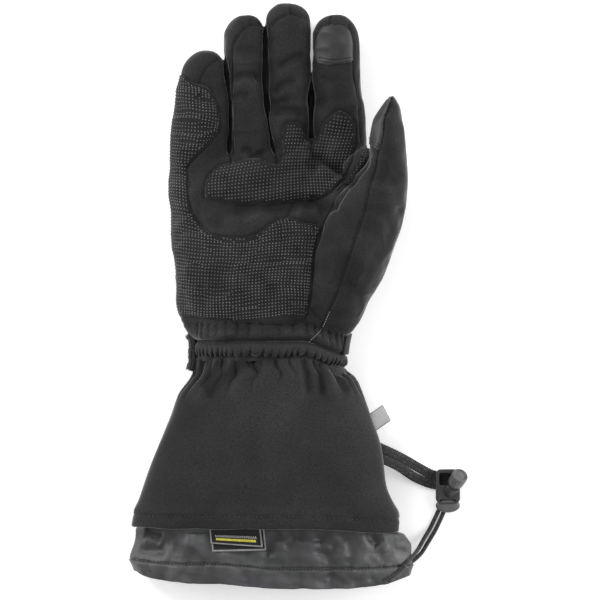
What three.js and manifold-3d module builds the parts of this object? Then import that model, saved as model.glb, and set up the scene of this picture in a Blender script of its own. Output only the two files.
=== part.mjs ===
// A right-hand winter glove with a long cuff, lying on its back with the palm up.
// Millimetres: +X runs to the thumb side, +Y to the fingertips, +Z out of the palm.
// The origin is on the wrist seam, in the middle of the wrist strap's flat underside.
// Each sewn part is a hollow shell or a thin layer of its own, with a small gap to its neighbours.
import * as THREE from "three";
import Module from "manifold-3d";
import { mergeVertices } from "three/addons/utils/BufferGeometryUtils.js";

const wasm = await Module();
wasm.setup();

const { lerp, smoothstep, degToRad } = THREE.MathUtils;

// Driving sizes of the hand
const HAND_LENGTH = 218; // wrist seam to the tip of the middle finger
const PALM_LENGTH = 118; // wrist seam to the crotches of the fingers
const PALM_WIDTH = 127; // across the knuckles
const PALM_THICKNESS = 42;
const HAND_WALL = 3.5; // shell, padding and lining together
const FINGER_THICKNESS = 27;
const FINGER_CURL = 8; // how far a fingertip rises off the surface
const FINGER_DOME = 13; // length of a rounded fingertip
const FINGER_GAP = 1;
const FINGER_CUT = 6; // the fingers are sewn on this far past the crotches
const CROTCH_RISE = 10; // how much higher the index finger's crotch is than the others
const THUMB_LENGTH = 154;
const THUMB_REACH = 88; // middle of the hand to the thumb's outer side
const THUMB_HEIGHT = 62; // top of the thumb above the surface
const THUMB_START = 4; // lower end of the thumb's panel, from the wrist seam

// Driving sizes of the wrist, the cuff and the skirt below it
const WRIST_WIDTH = 97;
const WRIST_THICKNESS = 37;
const WRIST_DROP = 7; // the wrist seam runs down this much on the thumb side
const CUFF_LENGTH = 119;
const CUFF_WIDTH = 170; // at the hem
const CUFF_THICKNESS = 46;
const CUFF_SWAY = -4; // middle of the hem, from the middle of the wrist
const CUFF_WALL = 2.5;
const GATHERS = 10;
const GATHER_DEPTH = 1.4;
const HEM_HEIGHT = 8;
const HEM_BULGE = 1.4;
const HEM_DROP = 3; // the hem hangs this much lower on the thumb side
const SKIRT_LENGTH = 39; // what shows of the thin skirt below the hem
const SKIRT_WIDTH = 182;
const SKIRT_THICKNESS = 38;
const SKIRT_WALL = 1;
const SKIRT_TUCK = 28; // length of the skirt inside the cuff
const SKIRT_ROUNDING = 9; // how far the corners of the lower edge are rounded off
const SKIRT_SLANT = 3; // how much lower the edge hangs on the thumb's side
const TUNNEL_HEIGHT = 13; // doubled hem that carries the drawcord
const TUNNEL_WALL = 0.7; // what the doubled cloth adds

// Driving sizes of the layers sewn on
const CLEARANCE = 0.3;
const PATCH_THICKNESS = 0.9;
const STRAP_THICKNESS = 2;
const STRAP_LIFT = STRAP_THICKNESS + CLEARANCE; // the wrist lies on the strap
const STRAP_WIDTH = 24; // at the free end, on the little finger's side
const STRAP_ROOT_WIDTH = 13;
const PILE_THICKNESS = 2.4;
const LABEL_THICKNESS = 0.5;
const LABEL_WIDTH = 33;
const LABEL_LENGTH = 10;
const LABEL_STEP = 4; // how far the layer behind shows below the front one
const TAB_LENGTH = 14;
const TAB_WIDTH = 11;
const TAB_THICKNESS = 1;
const EYELET_DIAMETER = 6.5;
const EYELET_THICKNESS = 0.8;

// Driving sizes of the drawcord, its lock and the pull strands
const STRAND_WIDTH = 6;
const STRAND_THICKNESS = 2;
const CORD_DIAMETER = 2.6;
const LOCK_WIDTH = 15.6;
const LOCK_LENGTH = 28;
const LOCK_THICKNESS = 4.6;
const LOCK_LIFT = CORD_DIAMETER + CLEARANCE; // the lock lies on the cords
const LOCK_PLACE = new THREE.Vector2(114.7, -96.5); // middle of the lock
const WINDOW_WIDTH = 8;
const SLOT_WIDTH = 10;
const SLOT_HEIGHT = 2;
const BUTTON_DIAMETER = 10.4;
const BUTTON_LENGTH = 16; // plate to the top of the cap
const BUTTON_TRAVEL = 3;
const BUTTON_TILT = 42; // degrees from upright
const BUTTON_TURN = 60; // degrees from +X to the side it leans to
const COLLAR_WALL = 1;
const COLLAR_LENGTH = 4;

// Colours and finishes
const finish = (color, roughness) => new THREE.MeshStandardMaterial({ color, roughness, metalness: 0 });
const softshell = finish(0x343434, 0.85);
const gripCloth = finish(0x262626, 0.7);
const touchLeather = finish(0x454545, 0.5);
const skirtNylon = finish(0x54585a, 0.45);
const webbing = finish(0x2b2b2b, 0.8);
const pile = finish(0x2a2a2a, 0.95);
const braid = finish(0x1f1f1f, 0.8);
const plastic = finish(0x4a4a4a, 0.4);
const labelCloth = finish(0x151515, 0.6);
const tabCloth = finish(0x8c8c8c, 0.6);

const FAR = 400; // past every part of the glove
const FACET_TOLERANCE = 0.15; // facets this close to flat are joined

// A solid from flat lists of coordinates and triangles.
function solid(positions, triangles) {
  return new wasm.Manifold(
    new wasm.Mesh({
      numProp: 3,
      vertProperties: new Float32Array(positions),
      triVerts: new Uint32Array(triangles),
    }),
  );
}

// A three.js geometry as a solid, with its shared vertices merged.
function solidOf(geometry) {
  const bare = geometry.index ? geometry.toNonIndexed() : geometry.clone();
  bare.deleteAttribute("normal");
  bare.deleteAttribute("uv");
  const merged = mergeVertices(bare, 1e-4);
  return solid(merged.attributes.position.array, merged.index.array);
}

// A solid as a named mesh. Crumbs and slivers that a cut leaves are dropped.
function meshOf(name, shape, material) {
  const main = shape.decompose().sort((a, b) => b.volume() - a.volume())[0].simplify(FACET_TOLERANCE);
  const { vertProperties, triVerts } = main.getMesh();
  const geometry = new THREE.BufferGeometry();
  geometry.setAttribute("position", new THREE.BufferAttribute(vertProperties, 3));
  geometry.setIndex(new THREE.BufferAttribute(triVerts, 1));
  geometry.computeVertexNormals();
  const mesh = new THREE.Mesh(geometry, material);
  mesh.name = name;
  return mesh;
}

// A closed skin over rings of points. Seen from the first ring, each ring turns anticlockwise
// and the later rings lie towards the viewer.
function loft(rings) {
  const sides = rings[0].length;
  const points = rings.flat();
  const triangles = [];
  for (let r = 0; r + 1 < rings.length; r++) {
    for (let k = 0; k < sides; k++) {
      const a = r * sides + k;
      const b = r * sides + ((k + 1) % sides);
      triangles.push(a, a + sides, b, b, a + sides, b + sides);
    }
  }
  const caps = [[rings[0], 0, 1], [rings.at(-1), (rings.length - 1) * sides, -1]];
  for (const [ring, first, way] of caps) {
    const middle = ring.reduce((sum, p) => sum.add(p), new THREE.Vector3()).divideScalar(sides);
    const centre = points.push(middle) - 1;
    for (let k = 0; k < sides; k++) {
      const pair = [first + k, first + ((k + 1) % sides)];
      if (way < 0) pair.reverse();
      triangles.push(centre, ...pair);
    }
  }
  return solid(points.flatMap((p) => [p.x, p.y, p.z]), triangles);
}

// A flat outline of [x, y] pairs carried from one height to another.
function prism(outline, low = -FAR, high = FAR) {
  const shape = new THREE.Shape(outline.map(([x, y]) => new THREE.Vector2(x, y)));
  const geometry = new THREE.ExtrudeGeometry(shape, { depth: high - low, bevelEnabled: false });
  return solidOf(geometry.translate(0, 0, low));
}

const SOFT_CORNER = 2.3; // exponent of the rounded sections, where 2 is an ellipse
const FOOT_DEPTH = 1.25; // an uncut lower half would be this much deeper

// A sine or cosine bent into a section with fuller corners.
const bent = (v) => Math.sign(v) * Math.abs(v) ** (2 / SOFT_CORNER);

// One section square to Y, widest at height level and cut flat at height foot. grow moves the
// outline outwards, ruffle waves it, and shift(x) moves its points along Y.
function section({ y, left, right, level, top, foot }, sides, grow, ruffle = 0, shift = () => 0) {
  return Array.from({ length: sides }, (_, k) => {
    const turn = (2 * Math.PI * k) / sides;
    const more = grow + ruffle * Math.cos(GATHERS * turn);
    const s = bent(Math.sin(turn));
    const x = (left + right) / 2 + ((right - left) / 2 + more) * bent(Math.cos(turn));
    const height = (s > 0 ? top - level : (level - foot) * FOOT_DEPTH) + more;
    return new THREE.Vector3(x, y + shift(x), Math.max(level + height * s, foot - grow));
  });
}

// A row of a table at y, on straight lines between its rows.
function rowAt(rows, y) {
  const last = rows.length - 2;
  const found = rows.findIndex((row, i) => i > 0 && row.y < y);
  const i = found < 0 ? last : Math.min(found - 1, last);
  const t = (y - rows[i].y) / (rows[i + 1].y - rows[i].y);
  return Object.fromEntries(Object.keys(rows[i]).map((key) => [key, lerp(rows[i][key], rows[i + 1][key], t)]));
}

// The hand from the crotches down to the wrist. along is a share of PALM_LENGTH, left and right
// of PALM_WIDTH, the heights of PALM_THICKNESS, and lift of STRAP_LIFT.
const PALM_TABLE = [
  // along, left, right, level, top, lift
  [1.035, -0.49, 0.47, 0.34, 0.6, 0.6],
  [0.99, -0.507, 0.487, 0.36, 0.74, 0],
  [0.89, -0.512, 0.488, 0.4, 0.87, 0],
  [0.76, -0.504, 0.48, 0.42, 0.95, 0],
  [0.56, -0.502, 0.472, 0.43, 1, 0],
  [0.365, -0.476, 0.457, 0.43, 1, 0],
  [0.23, -0.472, 0.441, 0.42, 0.96, 0.3],
  [0.105, -0.449, 0.41, 0.4, 0.9, 1],
];
const palmRows = PALM_TABLE.map(([along, left, right, level, top, lift]) => ({
  y: along * PALM_LENGTH,
  left: left * PALM_WIDTH,
  right: right * PALM_WIDTH,
  level: level * PALM_THICKNESS,
  top: top * PALM_THICKNESS,
  foot: lift * STRAP_LIFT,
  gather: 0,
}));

// The cuff from the wrist down to its hem. along is a share of CUFF_LENGTH, left and right run
// from the wrist's side at 0 to the hem's at 1, top is a share of the way from the wrist's
// thickness to the hem's, lift is of STRAP_LIFT and gather of GATHER_DEPTH.
const CUFF_TABLE = [
  // along, left, right, top, lift, gather
  [0, 0, 0.02, 0, 1, 0.3],
  [0.035, 0, 0, 0, 1, 1],
  [0.09, 0, -0.02, -0.1, 1, 1],
  [0.17, 0.07, 0.17, 0.15, 1, 0.7],
  [0.28, 0.31, 0.33, 0.4, 0.4, 0.4],
  [0.4, 0.43, 0.47, 0.62, 0, 0.15],
  [0.56, 0.61, 0.69, 0.8, 0, 0],
  [0.78, 0.84, 0.81, 0.95, 0, 0],
  [0.91, 0.95, 1.0, 1, 0, 0],
  [1, 1, 1, 1, 0, 0],
];
const LEVEL = 0.42; // height of the widest points, as a share of the thickness
const cuffRows = CUFF_TABLE.map(([along, left, right, top, lift, gather]) => {
  const thickness = lerp(WRIST_THICKNESS, CUFF_THICKNESS, top);
  return {
    y: -along * CUFF_LENGTH,
    left: lerp(-WRIST_WIDTH / 2, CUFF_SWAY - CUFF_WIDTH / 2, left),
    right: lerp(WRIST_WIDTH / 2, CUFF_SWAY + CUFF_WIDTH / 2, right),
    level: LEVEL * thickness,
    top: thickness,
    foot: lift * STRAP_LIFT,
    gather,
  };
});

const BODY_SIDES = 40;
const LINING_SIDES = 20; // the linings of the hand are coarser

// The crotch beside the index finger lies higher than the other two.
const crotchShift = (x) => CROTCH_RISE * smoothstep(x, 0.04 * PALM_WIDTH, 0.2 * PALM_WIDTH);

// The hem drops towards the thumb's side.
const hemShift = (x) => -HEM_DROP * smoothstep(x, 0.1 * CUFF_WIDTH, 0.45 * CUFF_WIDTH);

// Palm and cuff as one solid. over lengthens both ends, for cutting them open.
function bodySolid(grow, over = 0, sides = BODY_SIDES) {
  const bulge = grow < 0 ? 0 : HEM_BULGE;
  const hemTop = cuffRows.at(-1).y + HEM_HEIGHT;
  const hem = (y, share) => {
    const row = rowAt(cuffRows, y);
    const out = bulge * share;
    return { ...row, y, left: row.left - out, right: row.right + out, top: row.top + out };
  };
  const end = cuffRows.at(-1).y;
  const lowest = { ...hem(end, 0.4), y: end - over };
  const hems = [hem(hemTop, 0), hem(hemTop - HEM_HEIGHT * 0.25, 1), hem(end + 1, 1), lowest];
  const crotch = (row, i) => ({ ...row, y: row.y + (i === 0 ? grow : 0), shift: i < 2 ? crotchShift : undefined });
  const rows = [
    ...palmRows.map(crotch),
    ...cuffRows.filter((row) => row.y > hemTop + 1),
    ...hems.map((row) => ({ ...row, shift: hemShift })),
  ];
  const rings = rows.map((row) => section(row, sides, grow, row.gather * GATHER_DEPTH, row.shift));
  return loft(rings.reverse());
}

// Seam lines between the fingers, as shares of PALM_WIDTH. along runs from the crotches at 0 to
// the tip of the middle finger at 1.
const SEAM_TABLE = [
  // along, outer side, little-ring, ring-middle, middle-index, index side
  [-0.3, -0.5, -0.23, 0.03, 0.205, 0.48],
  [0, -0.505, -0.21, 0.03, 0.205, 0.486],
  [0.2, -0.494, -0.207, -0.01, 0.205, 0.483],
  [0.4, -0.476, -0.21, -0.023, 0.205, 0.463],
  [0.6, -0.446, -0.228, -0.026, 0.206, 0.453],
  [0.8, -0.4, -0.238, -0.026, 0.207, 0.44],
  [1, -0.36, -0.22, -0.026, 0.207, 0.425],
];
// name, place between the seam lines, reach as a share of HAND_LENGTH, sewn on at the higher crotch
const FINGERS = [
  ["finger_little", 0, 0.864, 0],
  ["finger_ring", 1, 0.965, 0],
  ["finger_middle", 2, 1, 1],
  ["finger_index", 3, 0.968, 1],
];
const FINGER_SIDES = 16;
const DOME_ANGLES = [0, 30, 54, 75].map(degToRad);

// One finger as a solid, grown outwards by grow.
function fingerSolid([, place, reach], grow) {
  const past = HAND_LENGTH - PALM_LENGTH;
  const seamRow = (row) => ({ y: PALM_LENGTH + row[0] * past, left: row[place + 1], right: row[place + 2] });
  const seams = SEAM_TABLE.map(seamRow);
  seams.reverse();
  const tip = reach * HAND_LENGTH;
  const domeStart = tip - FINGER_DOME;
  const rowOf = (y, shrink, rise) => {
    const { left, right } = rowAt(seams, y);
    const middle = ((left + right) / 2) * PALM_WIDTH;
    const half = (((right - left) * PALM_WIDTH - FINGER_GAP) / 2 + grow) * shrink;
    const t = Math.max(0, (y - PALM_LENGTH) / (tip - PALM_LENGTH));
    const lift = FINGER_CURL * t * t;
    const thick = FINGER_THICKNESS * lerp(1.1, 0.9, t);
    const centre = lift + thick / 2;
    const tall = (thick / 2 + grow) * shrink;
    return { y: y + rise, middle, half, level: centre, tall };
  };
  const straight = [-0.3, 0, 0.2, 0.4, 0.6, 0.8].map((a) => PALM_LENGTH + a * past);
  const rows = straight.filter((y) => y < domeStart - 4).map((y) => rowOf(y, 1, 0));
  for (const angle of DOME_ANGLES) {
    const y = domeStart + FINGER_DOME * Math.sin(angle);
    rows.push(rowOf(y, Math.cos(angle) ** 0.8, grow * Math.sin(angle)));
  }
  const sides = grow < 0 ? LINING_SIDES / 2 : FINGER_SIDES;
  return loft(
    rows.map(({ y, middle, half, level, tall }) => {
      return Array.from({ length: sides }, (_, k) => {
        const turn = (2 * Math.PI * k) / sides;
        const z = level + tall * bent(Math.sin(turn));
        return new THREE.Vector3(middle + half * bent(Math.cos(turn)), y, Math.max(z, -grow));
      });
    }),
  );
}

// The thumb, in sections square to Y. along is a share of THUMB_LENGTH, left and right of
// THUMB_REACH, low and high of THUMB_HEIGHT.
const THUMB_TABLE = [
  // along, left, right, low, high
  [0, 0.466, 0.568, 0.16, 0.48],
  [0.068, 0.352, 0.659, 0.13, 0.66],
  [0.152, 0.295, 0.727, 0.12, 0.77],
  [0.253, 0.307, 0.83, 0.12, 0.87],
  [0.355, 0.324, 0.894, 0.15, 0.94],
  [0.456, 0.375, 0.955, 0.21, 0.98],
  [0.574, 0.477, 0.991, 0.29, 1],
  [0.658, 0.599, 0.998, 0.36, 1],
  [0.743, 0.716, 0.99, 0.42, 0.99],
  [0.827, 0.725, 0.975, 0.47, 0.97],
  [0.895, 0.75, 0.96, 0.51, 0.94],
  [0.945, 0.801, 0.945, 0.56, 0.9],
  [0.979, 0.85, 0.92, 0.63, 0.84],
  [1, 0.877, 0.893, 0.71, 0.76],
];
const THUMB_SIDES = 18;

// The thumb as a solid, grown outwards by grow.
function thumbSolid(grow) {
  const least = 0.6;
  const sides = grow < 0 ? LINING_SIDES / 2 : THUMB_SIDES;
  return loft(
    THUMB_TABLE.map(([along, left, right, low, high]) => {
      const middle = ((left + right) / 2) * THUMB_REACH;
      const half = Math.max(((right - left) / 2) * THUMB_REACH + grow, least);
      const level = ((low + high) / 2) * THUMB_HEIGHT;
      const tall = Math.max(((high - low) / 2) * THUMB_HEIGHT + grow, least);
      const y = THUMB_START + along * (THUMB_LENGTH + grow);
      return Array.from({ length: sides }, (_, k) => {
        const turn = (2 * Math.PI * k) / sides;
        return new THREE.Vector3(middle + half * Math.cos(turn), y, level + tall * Math.sin(turn));
      });
    }),
  );
}

// The skirt from inside the cuff down to its lower edge. along is a share of SKIRT_LENGTH, the
// sides are shares of half the SKIRT_WIDTH and top is a share of SKIRT_THICKNESS.
const SKIRT_TABLE = [
  // along, left, right, top
  [0.06, 0.965, 0.95, 1.02],
  [0.25, 0.975, 1, 1],
  [0.63, 1, 1, 0.96],
  [1, 0.97, 0.98, 0.92],
];
const skirtRows = SKIRT_TABLE.map(([along, left, right, top]) => ({
  y: -CUFF_LENGTH - along * SKIRT_LENGTH,
  left: (-left * SKIRT_WIDTH) / 2,
  right: (right * SKIRT_WIDTH) / 2,
  level: LEVEL * SKIRT_THICKNESS * top,
  top: SKIRT_THICKNESS * top,
  foot: 0,
}));

// The skirt's lower edge has rounded corners, and it hangs lower on the thumb's side.
function cornerShift(x) {
  const share = x / SKIRT_WIDTH;
  const rounding = SKIRT_ROUNDING * Math.min(1, Math.abs(2 * share)) ** 6;
  return rounding + SKIRT_SLANT * (1 - smoothstep(share, -0.2, 0.05));
}

// The skirt as a solid. over lengthens both ends, for cutting it open.
function skirtSolid(grow, over = 0) {
  const inCuff = grow - CUFF_WALL - CLEARANCE;
  const top = -CUFF_LENGTH + SKIRT_TUCK + over;
  const end = skirtRows.at(-1);
  const tunnel = over > 0 ? 0 : TUNNEL_WALL;
  const tunnelTop = end.y + TUNNEL_HEIGHT;
  const hidden = cuffRows.filter((row) => row.y < top - 1 && row.y > 1 - CUFF_LENGTH);
  const plain = skirtRows.filter((row) => row.y > tunnelTop + 3);
  const rings = [
    section(rowAt(cuffRows, top), BODY_SIDES, inCuff),
    ...hidden.map((row) => section(row, BODY_SIDES, inCuff)),
    section({ ...rowAt(cuffRows, -CUFF_LENGTH + 1), y: -CUFF_LENGTH - 1 }, BODY_SIDES, inCuff, 0, hemShift),
    ...plain.map((row) => section(row, BODY_SIDES, grow, 0, hemShift)),
    section(rowAt(skirtRows, tunnelTop), BODY_SIDES, grow, 0, cornerShift),
    section({ ...rowAt(skirtRows, tunnelTop - 1), foot: tunnel }, BODY_SIDES, grow + tunnel, 0, cornerShift),
    section({ ...end, y: end.y - over, foot: tunnel }, BODY_SIDES, grow + tunnel, 0, cornerShift),
  ];
  return loft(rings.reverse());
}

// A point on the skirt's upper half above or below x at y, moved outwards by out.
function skirtPoint(x, y, out) {
  const { left, right, level, top } = rowAt(skirtRows, y);
  const c = Math.min(1, Math.abs(x - (left + right) / 2) / ((right - left) / 2));
  const s = (1 - c ** SOFT_CORNER) ** (1 / SOFT_CORNER);
  return new THREE.Vector3(x, y, level + (top - level) * s + out);
}

// A flat braid along a smooth path through a few points, with its broad side kept upwards.
function strand(points, steps) {
  const curve = new THREE.CatmullRomCurve3(points, false, "centripetal");
  const sides = 8;
  const full = (v) => Math.sign(v) * Math.abs(v) ** 0.6;
  const rings = Array.from({ length: steps + 1 }, (_, i) => {
    const t = i / steps;
    const centre = curve.getPointAt(t);
    const ahead = curve.getTangentAt(t);
    const across = ahead.clone().cross(new THREE.Vector3(0, 0, 1)).normalize();
    const up = across.clone().cross(ahead);
    return Array.from({ length: sides }, (_, k) => {
      const turn = (2 * Math.PI * (k + 0.5)) / sides;
      return centre
        .clone()
        .addScaledVector(across, (STRAND_WIDTH / 2) * full(Math.cos(turn)))
        .addScaledVector(up, (STRAND_THICKNESS / 2) * full(Math.sin(turn)));
    });
  });
  return loft(rings);
}

// The bodies that the sewn parts are cut from.
const everyFinger = (grow) => FINGERS.map((finger) => fingerSolid(finger, grow));
const hand = (grow) => bodySolid(grow).add(wasm.Manifold.union(everyFinger(grow)));
const bodyOuter = bodySolid(0);
const bodyInner = bodySolid(-HAND_WALL, 2, LINING_SIDES);
const cuffInner = bodySolid(-CUFF_WALL, 2);
const handClear = hand(CLEARANCE);
const thumbOuter = thumbSolid(0);
const thumbInner = thumbSolid(-HAND_WALL);

// Everything above the wrist seam, which drops on the thumb's side. gap moves the cut along Y.
function aboveWrist(gap) {
  const corner = 0.2 * WRIST_WIDTH;
  const side = 0.46 * WRIST_WIDTH;
  const line = [[-FAR, gap], [corner, gap], [side, gap - WRIST_DROP], [FAR, gap - WRIST_DROP]];
  return prism([...line, [FAR, FAR], [-FAR, FAR]]);
}

// Everything past the seam of one finger, where y is moved by gap.
function pastFinger([, , , higher], gap) {
  const y = PALM_LENGTH + FINGER_CUT + higher * CROTCH_RISE + gap;
  return prism([[-FAR, y], [FAR, y], [FAR, FAR], [-FAR, FAR]]);
}

function palmBody() {
  const fingersInner = wasm.Manifold.union(everyFinger(-HAND_WALL));
  let shell = bodyOuter.add(wasm.Manifold.union(everyFinger(0))).subtract(bodyInner.add(fingersInner));
  shell = shell.intersect(aboveWrist(CLEARANCE / 2)).subtract(thumbInner);
  for (const finger of FINGERS) {
    shell = shell.subtract(fingerSolid(finger, CLEARANCE).intersect(pastFinger(finger, -CLEARANCE)));
  }
  return meshOf("palm_body", shell, softshell);
}

function fingerMeshes() {
  return FINGERS.map((finger) => {
    const shell = fingerSolid(finger, 0).subtract(fingerSolid(finger, -HAND_WALL));
    return meshOf(finger[0], shell.intersect(pastFinger(finger, 0)), softshell);
  });
}

const thumb = () => meshOf("thumb", thumbOuter.subtract(thumbInner).subtract(handClear), softshell);
const skirt = () => meshOf("gaiter", skirtSolid(0).subtract(skirtSolid(-SKIRT_WALL, 2)), skirtNylon);

function cuff() {
  const shell = bodyOuter.subtract(cuffInner);
  return meshOf("cuff", shell.subtract(aboveWrist(-CLEARANCE / 2)), softshell);
}

// Outlines of the layers on the palm side, in shares of PALM_WIDTH and PALM_LENGTH.
const HEEL_OUTLINE = [
  [-0.8, 1.46], [-0.456, 1.46], [-0.397, 1.416], [-0.315, 1.383], [-0.266, 1.267], [-0.261, 1.168],
  [-0.297, 1.107], [-0.363, 1.03], [-0.425, 0.953], [-0.422, 0.892], [-0.415, 0.788], [-0.396, 0.705],
  [-0.353, 0.644], [-0.302, 0.592], [-0.21, 0.573], [-0.107, 0.573], [-0.031, 0.617], [0.015, 0.656],
  [0.087, 0.675], [0.169, 0.65], [0.251, 0.628], [0.225, 0.534], [0.21, 0.38], [0.189, 0.193],
  [0.164, 0.12], [-0.456, 0.143], [-0.8, 0.143],
];
const KNUCKLE_OUTLINE = [
  [-0.328, 0.788], [-0.32, 0.892], [-0.266, 0.958], [-0.164, 0.986], [-0.092, 1.0], [-0.031, 0.99],
  [0.02, 0.969], [0.06, 1.014], [0.06, 1.157], [0.097, 1.2], [0.155, 1.185], [0.18, 1.13],
  [0.205, 1.06], [0.235, 1.13], [0.274, 1.201], [0.351, 1.261], [0.42, 1.201], [0.42, 1.03],
  [0.388, 0.94], [0.348, 0.87], [0.29, 0.805], [0.215, 0.782], [0.123, 0.771], [0.056, 0.76],
  [-0.118, 0.749], [-0.21, 0.755], [-0.292, 0.777],
];
const WEB_OUTLINE = [
  [0.5, 1.07], [0.46, 1.07], [0.447, 1.0], [0.412, 0.93], [0.372, 0.865], [0.33, 0.81],
  [0.36, 0.79], [0.44, 0.87], [0.5, 0.95],
];
const INDEX_TIP_OUTLINE = [
  [0.23, 1.631], [0.241, 1.675], [0.266, 1.713], [0.317, 1.726], [0.363, 1.724], [0.399, 1.686],
  [0.415, 1.631], [0.415, 1.553], [0.409, 1.531], [0.328, 1.515], [0.241, 1.526],
];

// Outline of the layer on the thumb's tip, in shares of THUMB_REACH and THUMB_LENGTH.
const THUMB_TIP_OUTLINE = [
  [0.872, 0.992], [0.85, 0.949], [0.82, 0.898], [0.805, 0.835], [0.784, 0.768], [0.746, 0.785],
  [0.701, 0.811], [0.678, 0.844], [0.707, 0.916], [0.779, 0.985], [0.851, 1.001],
];

const onPalm = (outline) => outline.map(([x, y]) => [x * PALM_WIDTH, y * PALM_LENGTH]);
const onThumb = (outline) => outline.map(([x, y]) => [x * THUMB_REACH, THUMB_START + y * THUMB_LENGTH]);

// The layer of cloth on a body: what lies between two of its grown sizes, inside an outline.
function layer(grown, outline, low) {
  const sheet = grown(CLEARANCE + PATCH_THICKNESS).subtract(grown(CLEARANCE));
  return sheet.intersect(prism(outline, low));
}

function gripPatches() {
  const thumbClear = thumbSolid(CLEARANCE);
  const low = 0.2 * PALM_THICKNESS;
  const onTop = 0.5 * PALM_THICKNESS;
  return [
    meshOf("grip_patch_palm", layer(hand, onPalm(HEEL_OUTLINE), low).subtract(thumbClear), gripCloth),
    meshOf("grip_patch_knuckle", layer(hand, onPalm(KNUCKLE_OUTLINE), onTop).subtract(thumbClear), gripCloth),
    meshOf("grip_web", layer(hand, onPalm(WEB_OUTLINE), onTop).subtract(thumbClear), gripCloth),
  ];
}

function touchPatches() {
  const index = (grow) => fingerSolid(FINGERS[3], grow);
  const onIndex = layer(index, onPalm(INDEX_TIP_OUTLINE), 0.8 * FINGER_THICKNESS);
  const onThumbTip = layer(thumbSolid, onThumb(THUMB_TIP_OUTLINE), 0.72 * THUMB_HEIGHT);
  return [
    meshOf("touch_patch_index", onIndex, touchLeather),
    meshOf("touch_patch_thumb", onThumbTip, touchLeather),
  ];
}

// The strap lies across the back of the wrist and wraps up its sides. Its fuzzy free end shows.
function strap() {
  const over = 5.5; // how far it reaches past the wrist seam
  const side = 0.55 * WRIST_WIDTH;
  const top = 0.4 * WRIST_THICKNESS;
  const band = [[-side, over - STRAP_WIDTH], [side, over - STRAP_ROOT_WIDTH], [side, over], [-side, over]];
  const inset = 1.5;
  const free = [
    [-FAR, over - STRAP_WIDTH + inset], [-0.42 * WRIST_WIDTH, over - STRAP_WIDTH + inset],
    [-0.42 * WRIST_WIDTH, over - inset], [-FAR, over - inset],
  ];
  const strapGrow = CLEARANCE + STRAP_THICKNESS;
  const pileGrow = strapGrow + CLEARANCE;
  const bandLayer = bodySolid(strapGrow).subtract(bodySolid(CLEARANCE)).intersect(prism(band, -FAR, top));
  const pileLayer = bodySolid(pileGrow + PILE_THICKNESS).subtract(bodySolid(pileGrow));
  return [
    meshOf("wrist_strap", bandLayer, webbing),
    meshOf("strap_pad", pileLayer.intersect(prism(free, PILE_THICKNESS, 1.6 * top)), pile),
  ];
}

// Two layers of label hang from under the hem and lie on the skirt.
function labels() {
  const middle = -0.125 * SKIRT_WIDTH;
  const top = -CUFF_LENGTH - CLEARANCE;
  const level = 0.6 * SKIRT_THICKNESS;
  const onSkirt = (start, low, width) => {
    const outline = [
      [middle - width / 2, low], [middle + width / 2, low - 1.5],
      [middle + width / 2 - 1, top], [middle - width / 2 - 1, top],
    ];
    const sheet = skirtSolid(start + LABEL_THICKNESS).subtract(skirtSolid(start));
    return sheet.intersect(prism(outline, level));
  };
  const behind = CLEARANCE;
  const front = behind + LABEL_THICKNESS + CLEARANCE;
  return [
    meshOf("size_label_back", onSkirt(behind, top - LABEL_LENGTH - LABEL_STEP, LABEL_WIDTH + 1), labelCloth),
    meshOf("size_label_front", onSkirt(front, top - LABEL_LENGTH, LABEL_WIDTH), labelCloth),
  ];
}

// A small folded tab stands out of the cuff's side seam on the thumb's side.
function sideTab() {
  const root = new THREE.Vector2(0.39 * CUFF_WIDTH, -0.43 * CUFF_LENGTH);
  const turn = degToRad(28);
  const hidden = 12; // drawn this far into the cuff, then cut off by it
  const corners = [[-hidden, -1], [TAB_LENGTH - 4, -1], [TAB_LENGTH - 4, 1], [-hidden, 1]];
  const outline = corners.map(([along, across]) => {
    const p = new THREE.Vector2(along, (across * TAB_WIDTH) / 2);
    p.rotateAround(new THREE.Vector2(), turn).add(root);
    return [p.x, p.y];
  });
  const low = LEVEL * CUFF_THICKNESS;
  const flat = prism(outline, low, low + TAB_THICKNESS);
  return meshOf("side_tab", flat.subtract(bodySolid(CLEARANCE)), tabCloth);
}

const EYELET_PLACE = new THREE.Vector2(0.414 * SKIRT_WIDTH, -CUFF_LENGTH - 0.85 * SKIRT_LENGTH);

function eyelet() {
  const { x, y } = EYELET_PLACE;
  const out = TUNNEL_WALL + CLEARANCE;
  const slopeX = skirtPoint(x + 1, y, 0).sub(skirtPoint(x - 1, y, 0));
  const slopeY = skirtPoint(x, y + 1, 0).sub(skirtPoint(x, y - 1, 0));
  const normal = slopeX.cross(slopeY).normalize();
  const inner = EYELET_DIAMETER / 4;
  const outer = EYELET_DIAMETER / 2;
  const thick = EYELET_THICKNESS;
  const profile = [
    [inner, 0], [outer, 0], [outer, thick * 0.5], [outer - 0.6, thick], [inner, thick], [inner, 0],
  ];
  const ring = new THREE.LatheGeometry(profile.map(([r, h]) => new THREE.Vector2(r, h)), 12);
  ring.applyQuaternion(new THREE.Quaternion().setFromUnitVectors(new THREE.Vector3(0, 1, 0), normal));
  const place = skirtPoint(x, y, 0).addScaledVector(normal, out);
  ring.translate(...place);
  return meshOf("gaiter_eyelet", solidOf(ring).subtract(skirtSolid(CLEARANCE / 2)), plastic);
}

// The plunger's axis starts on the lock's plate and leans over.
const BUTTON_FOOT = new THREE.Vector3(LOCK_PLACE.x + 2.3, LOCK_PLACE.y + 1.5, LOCK_LIFT + LOCK_THICKNESS);
const BUTTON_AXIS = new THREE.Vector3(
  Math.sin(degToRad(BUTTON_TILT)) * Math.cos(degToRad(BUTTON_TURN)),
  Math.sin(degToRad(BUTTON_TILT)) * Math.sin(degToRad(BUTTON_TURN)),
  Math.cos(degToRad(BUTTON_TILT)),
);

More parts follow.
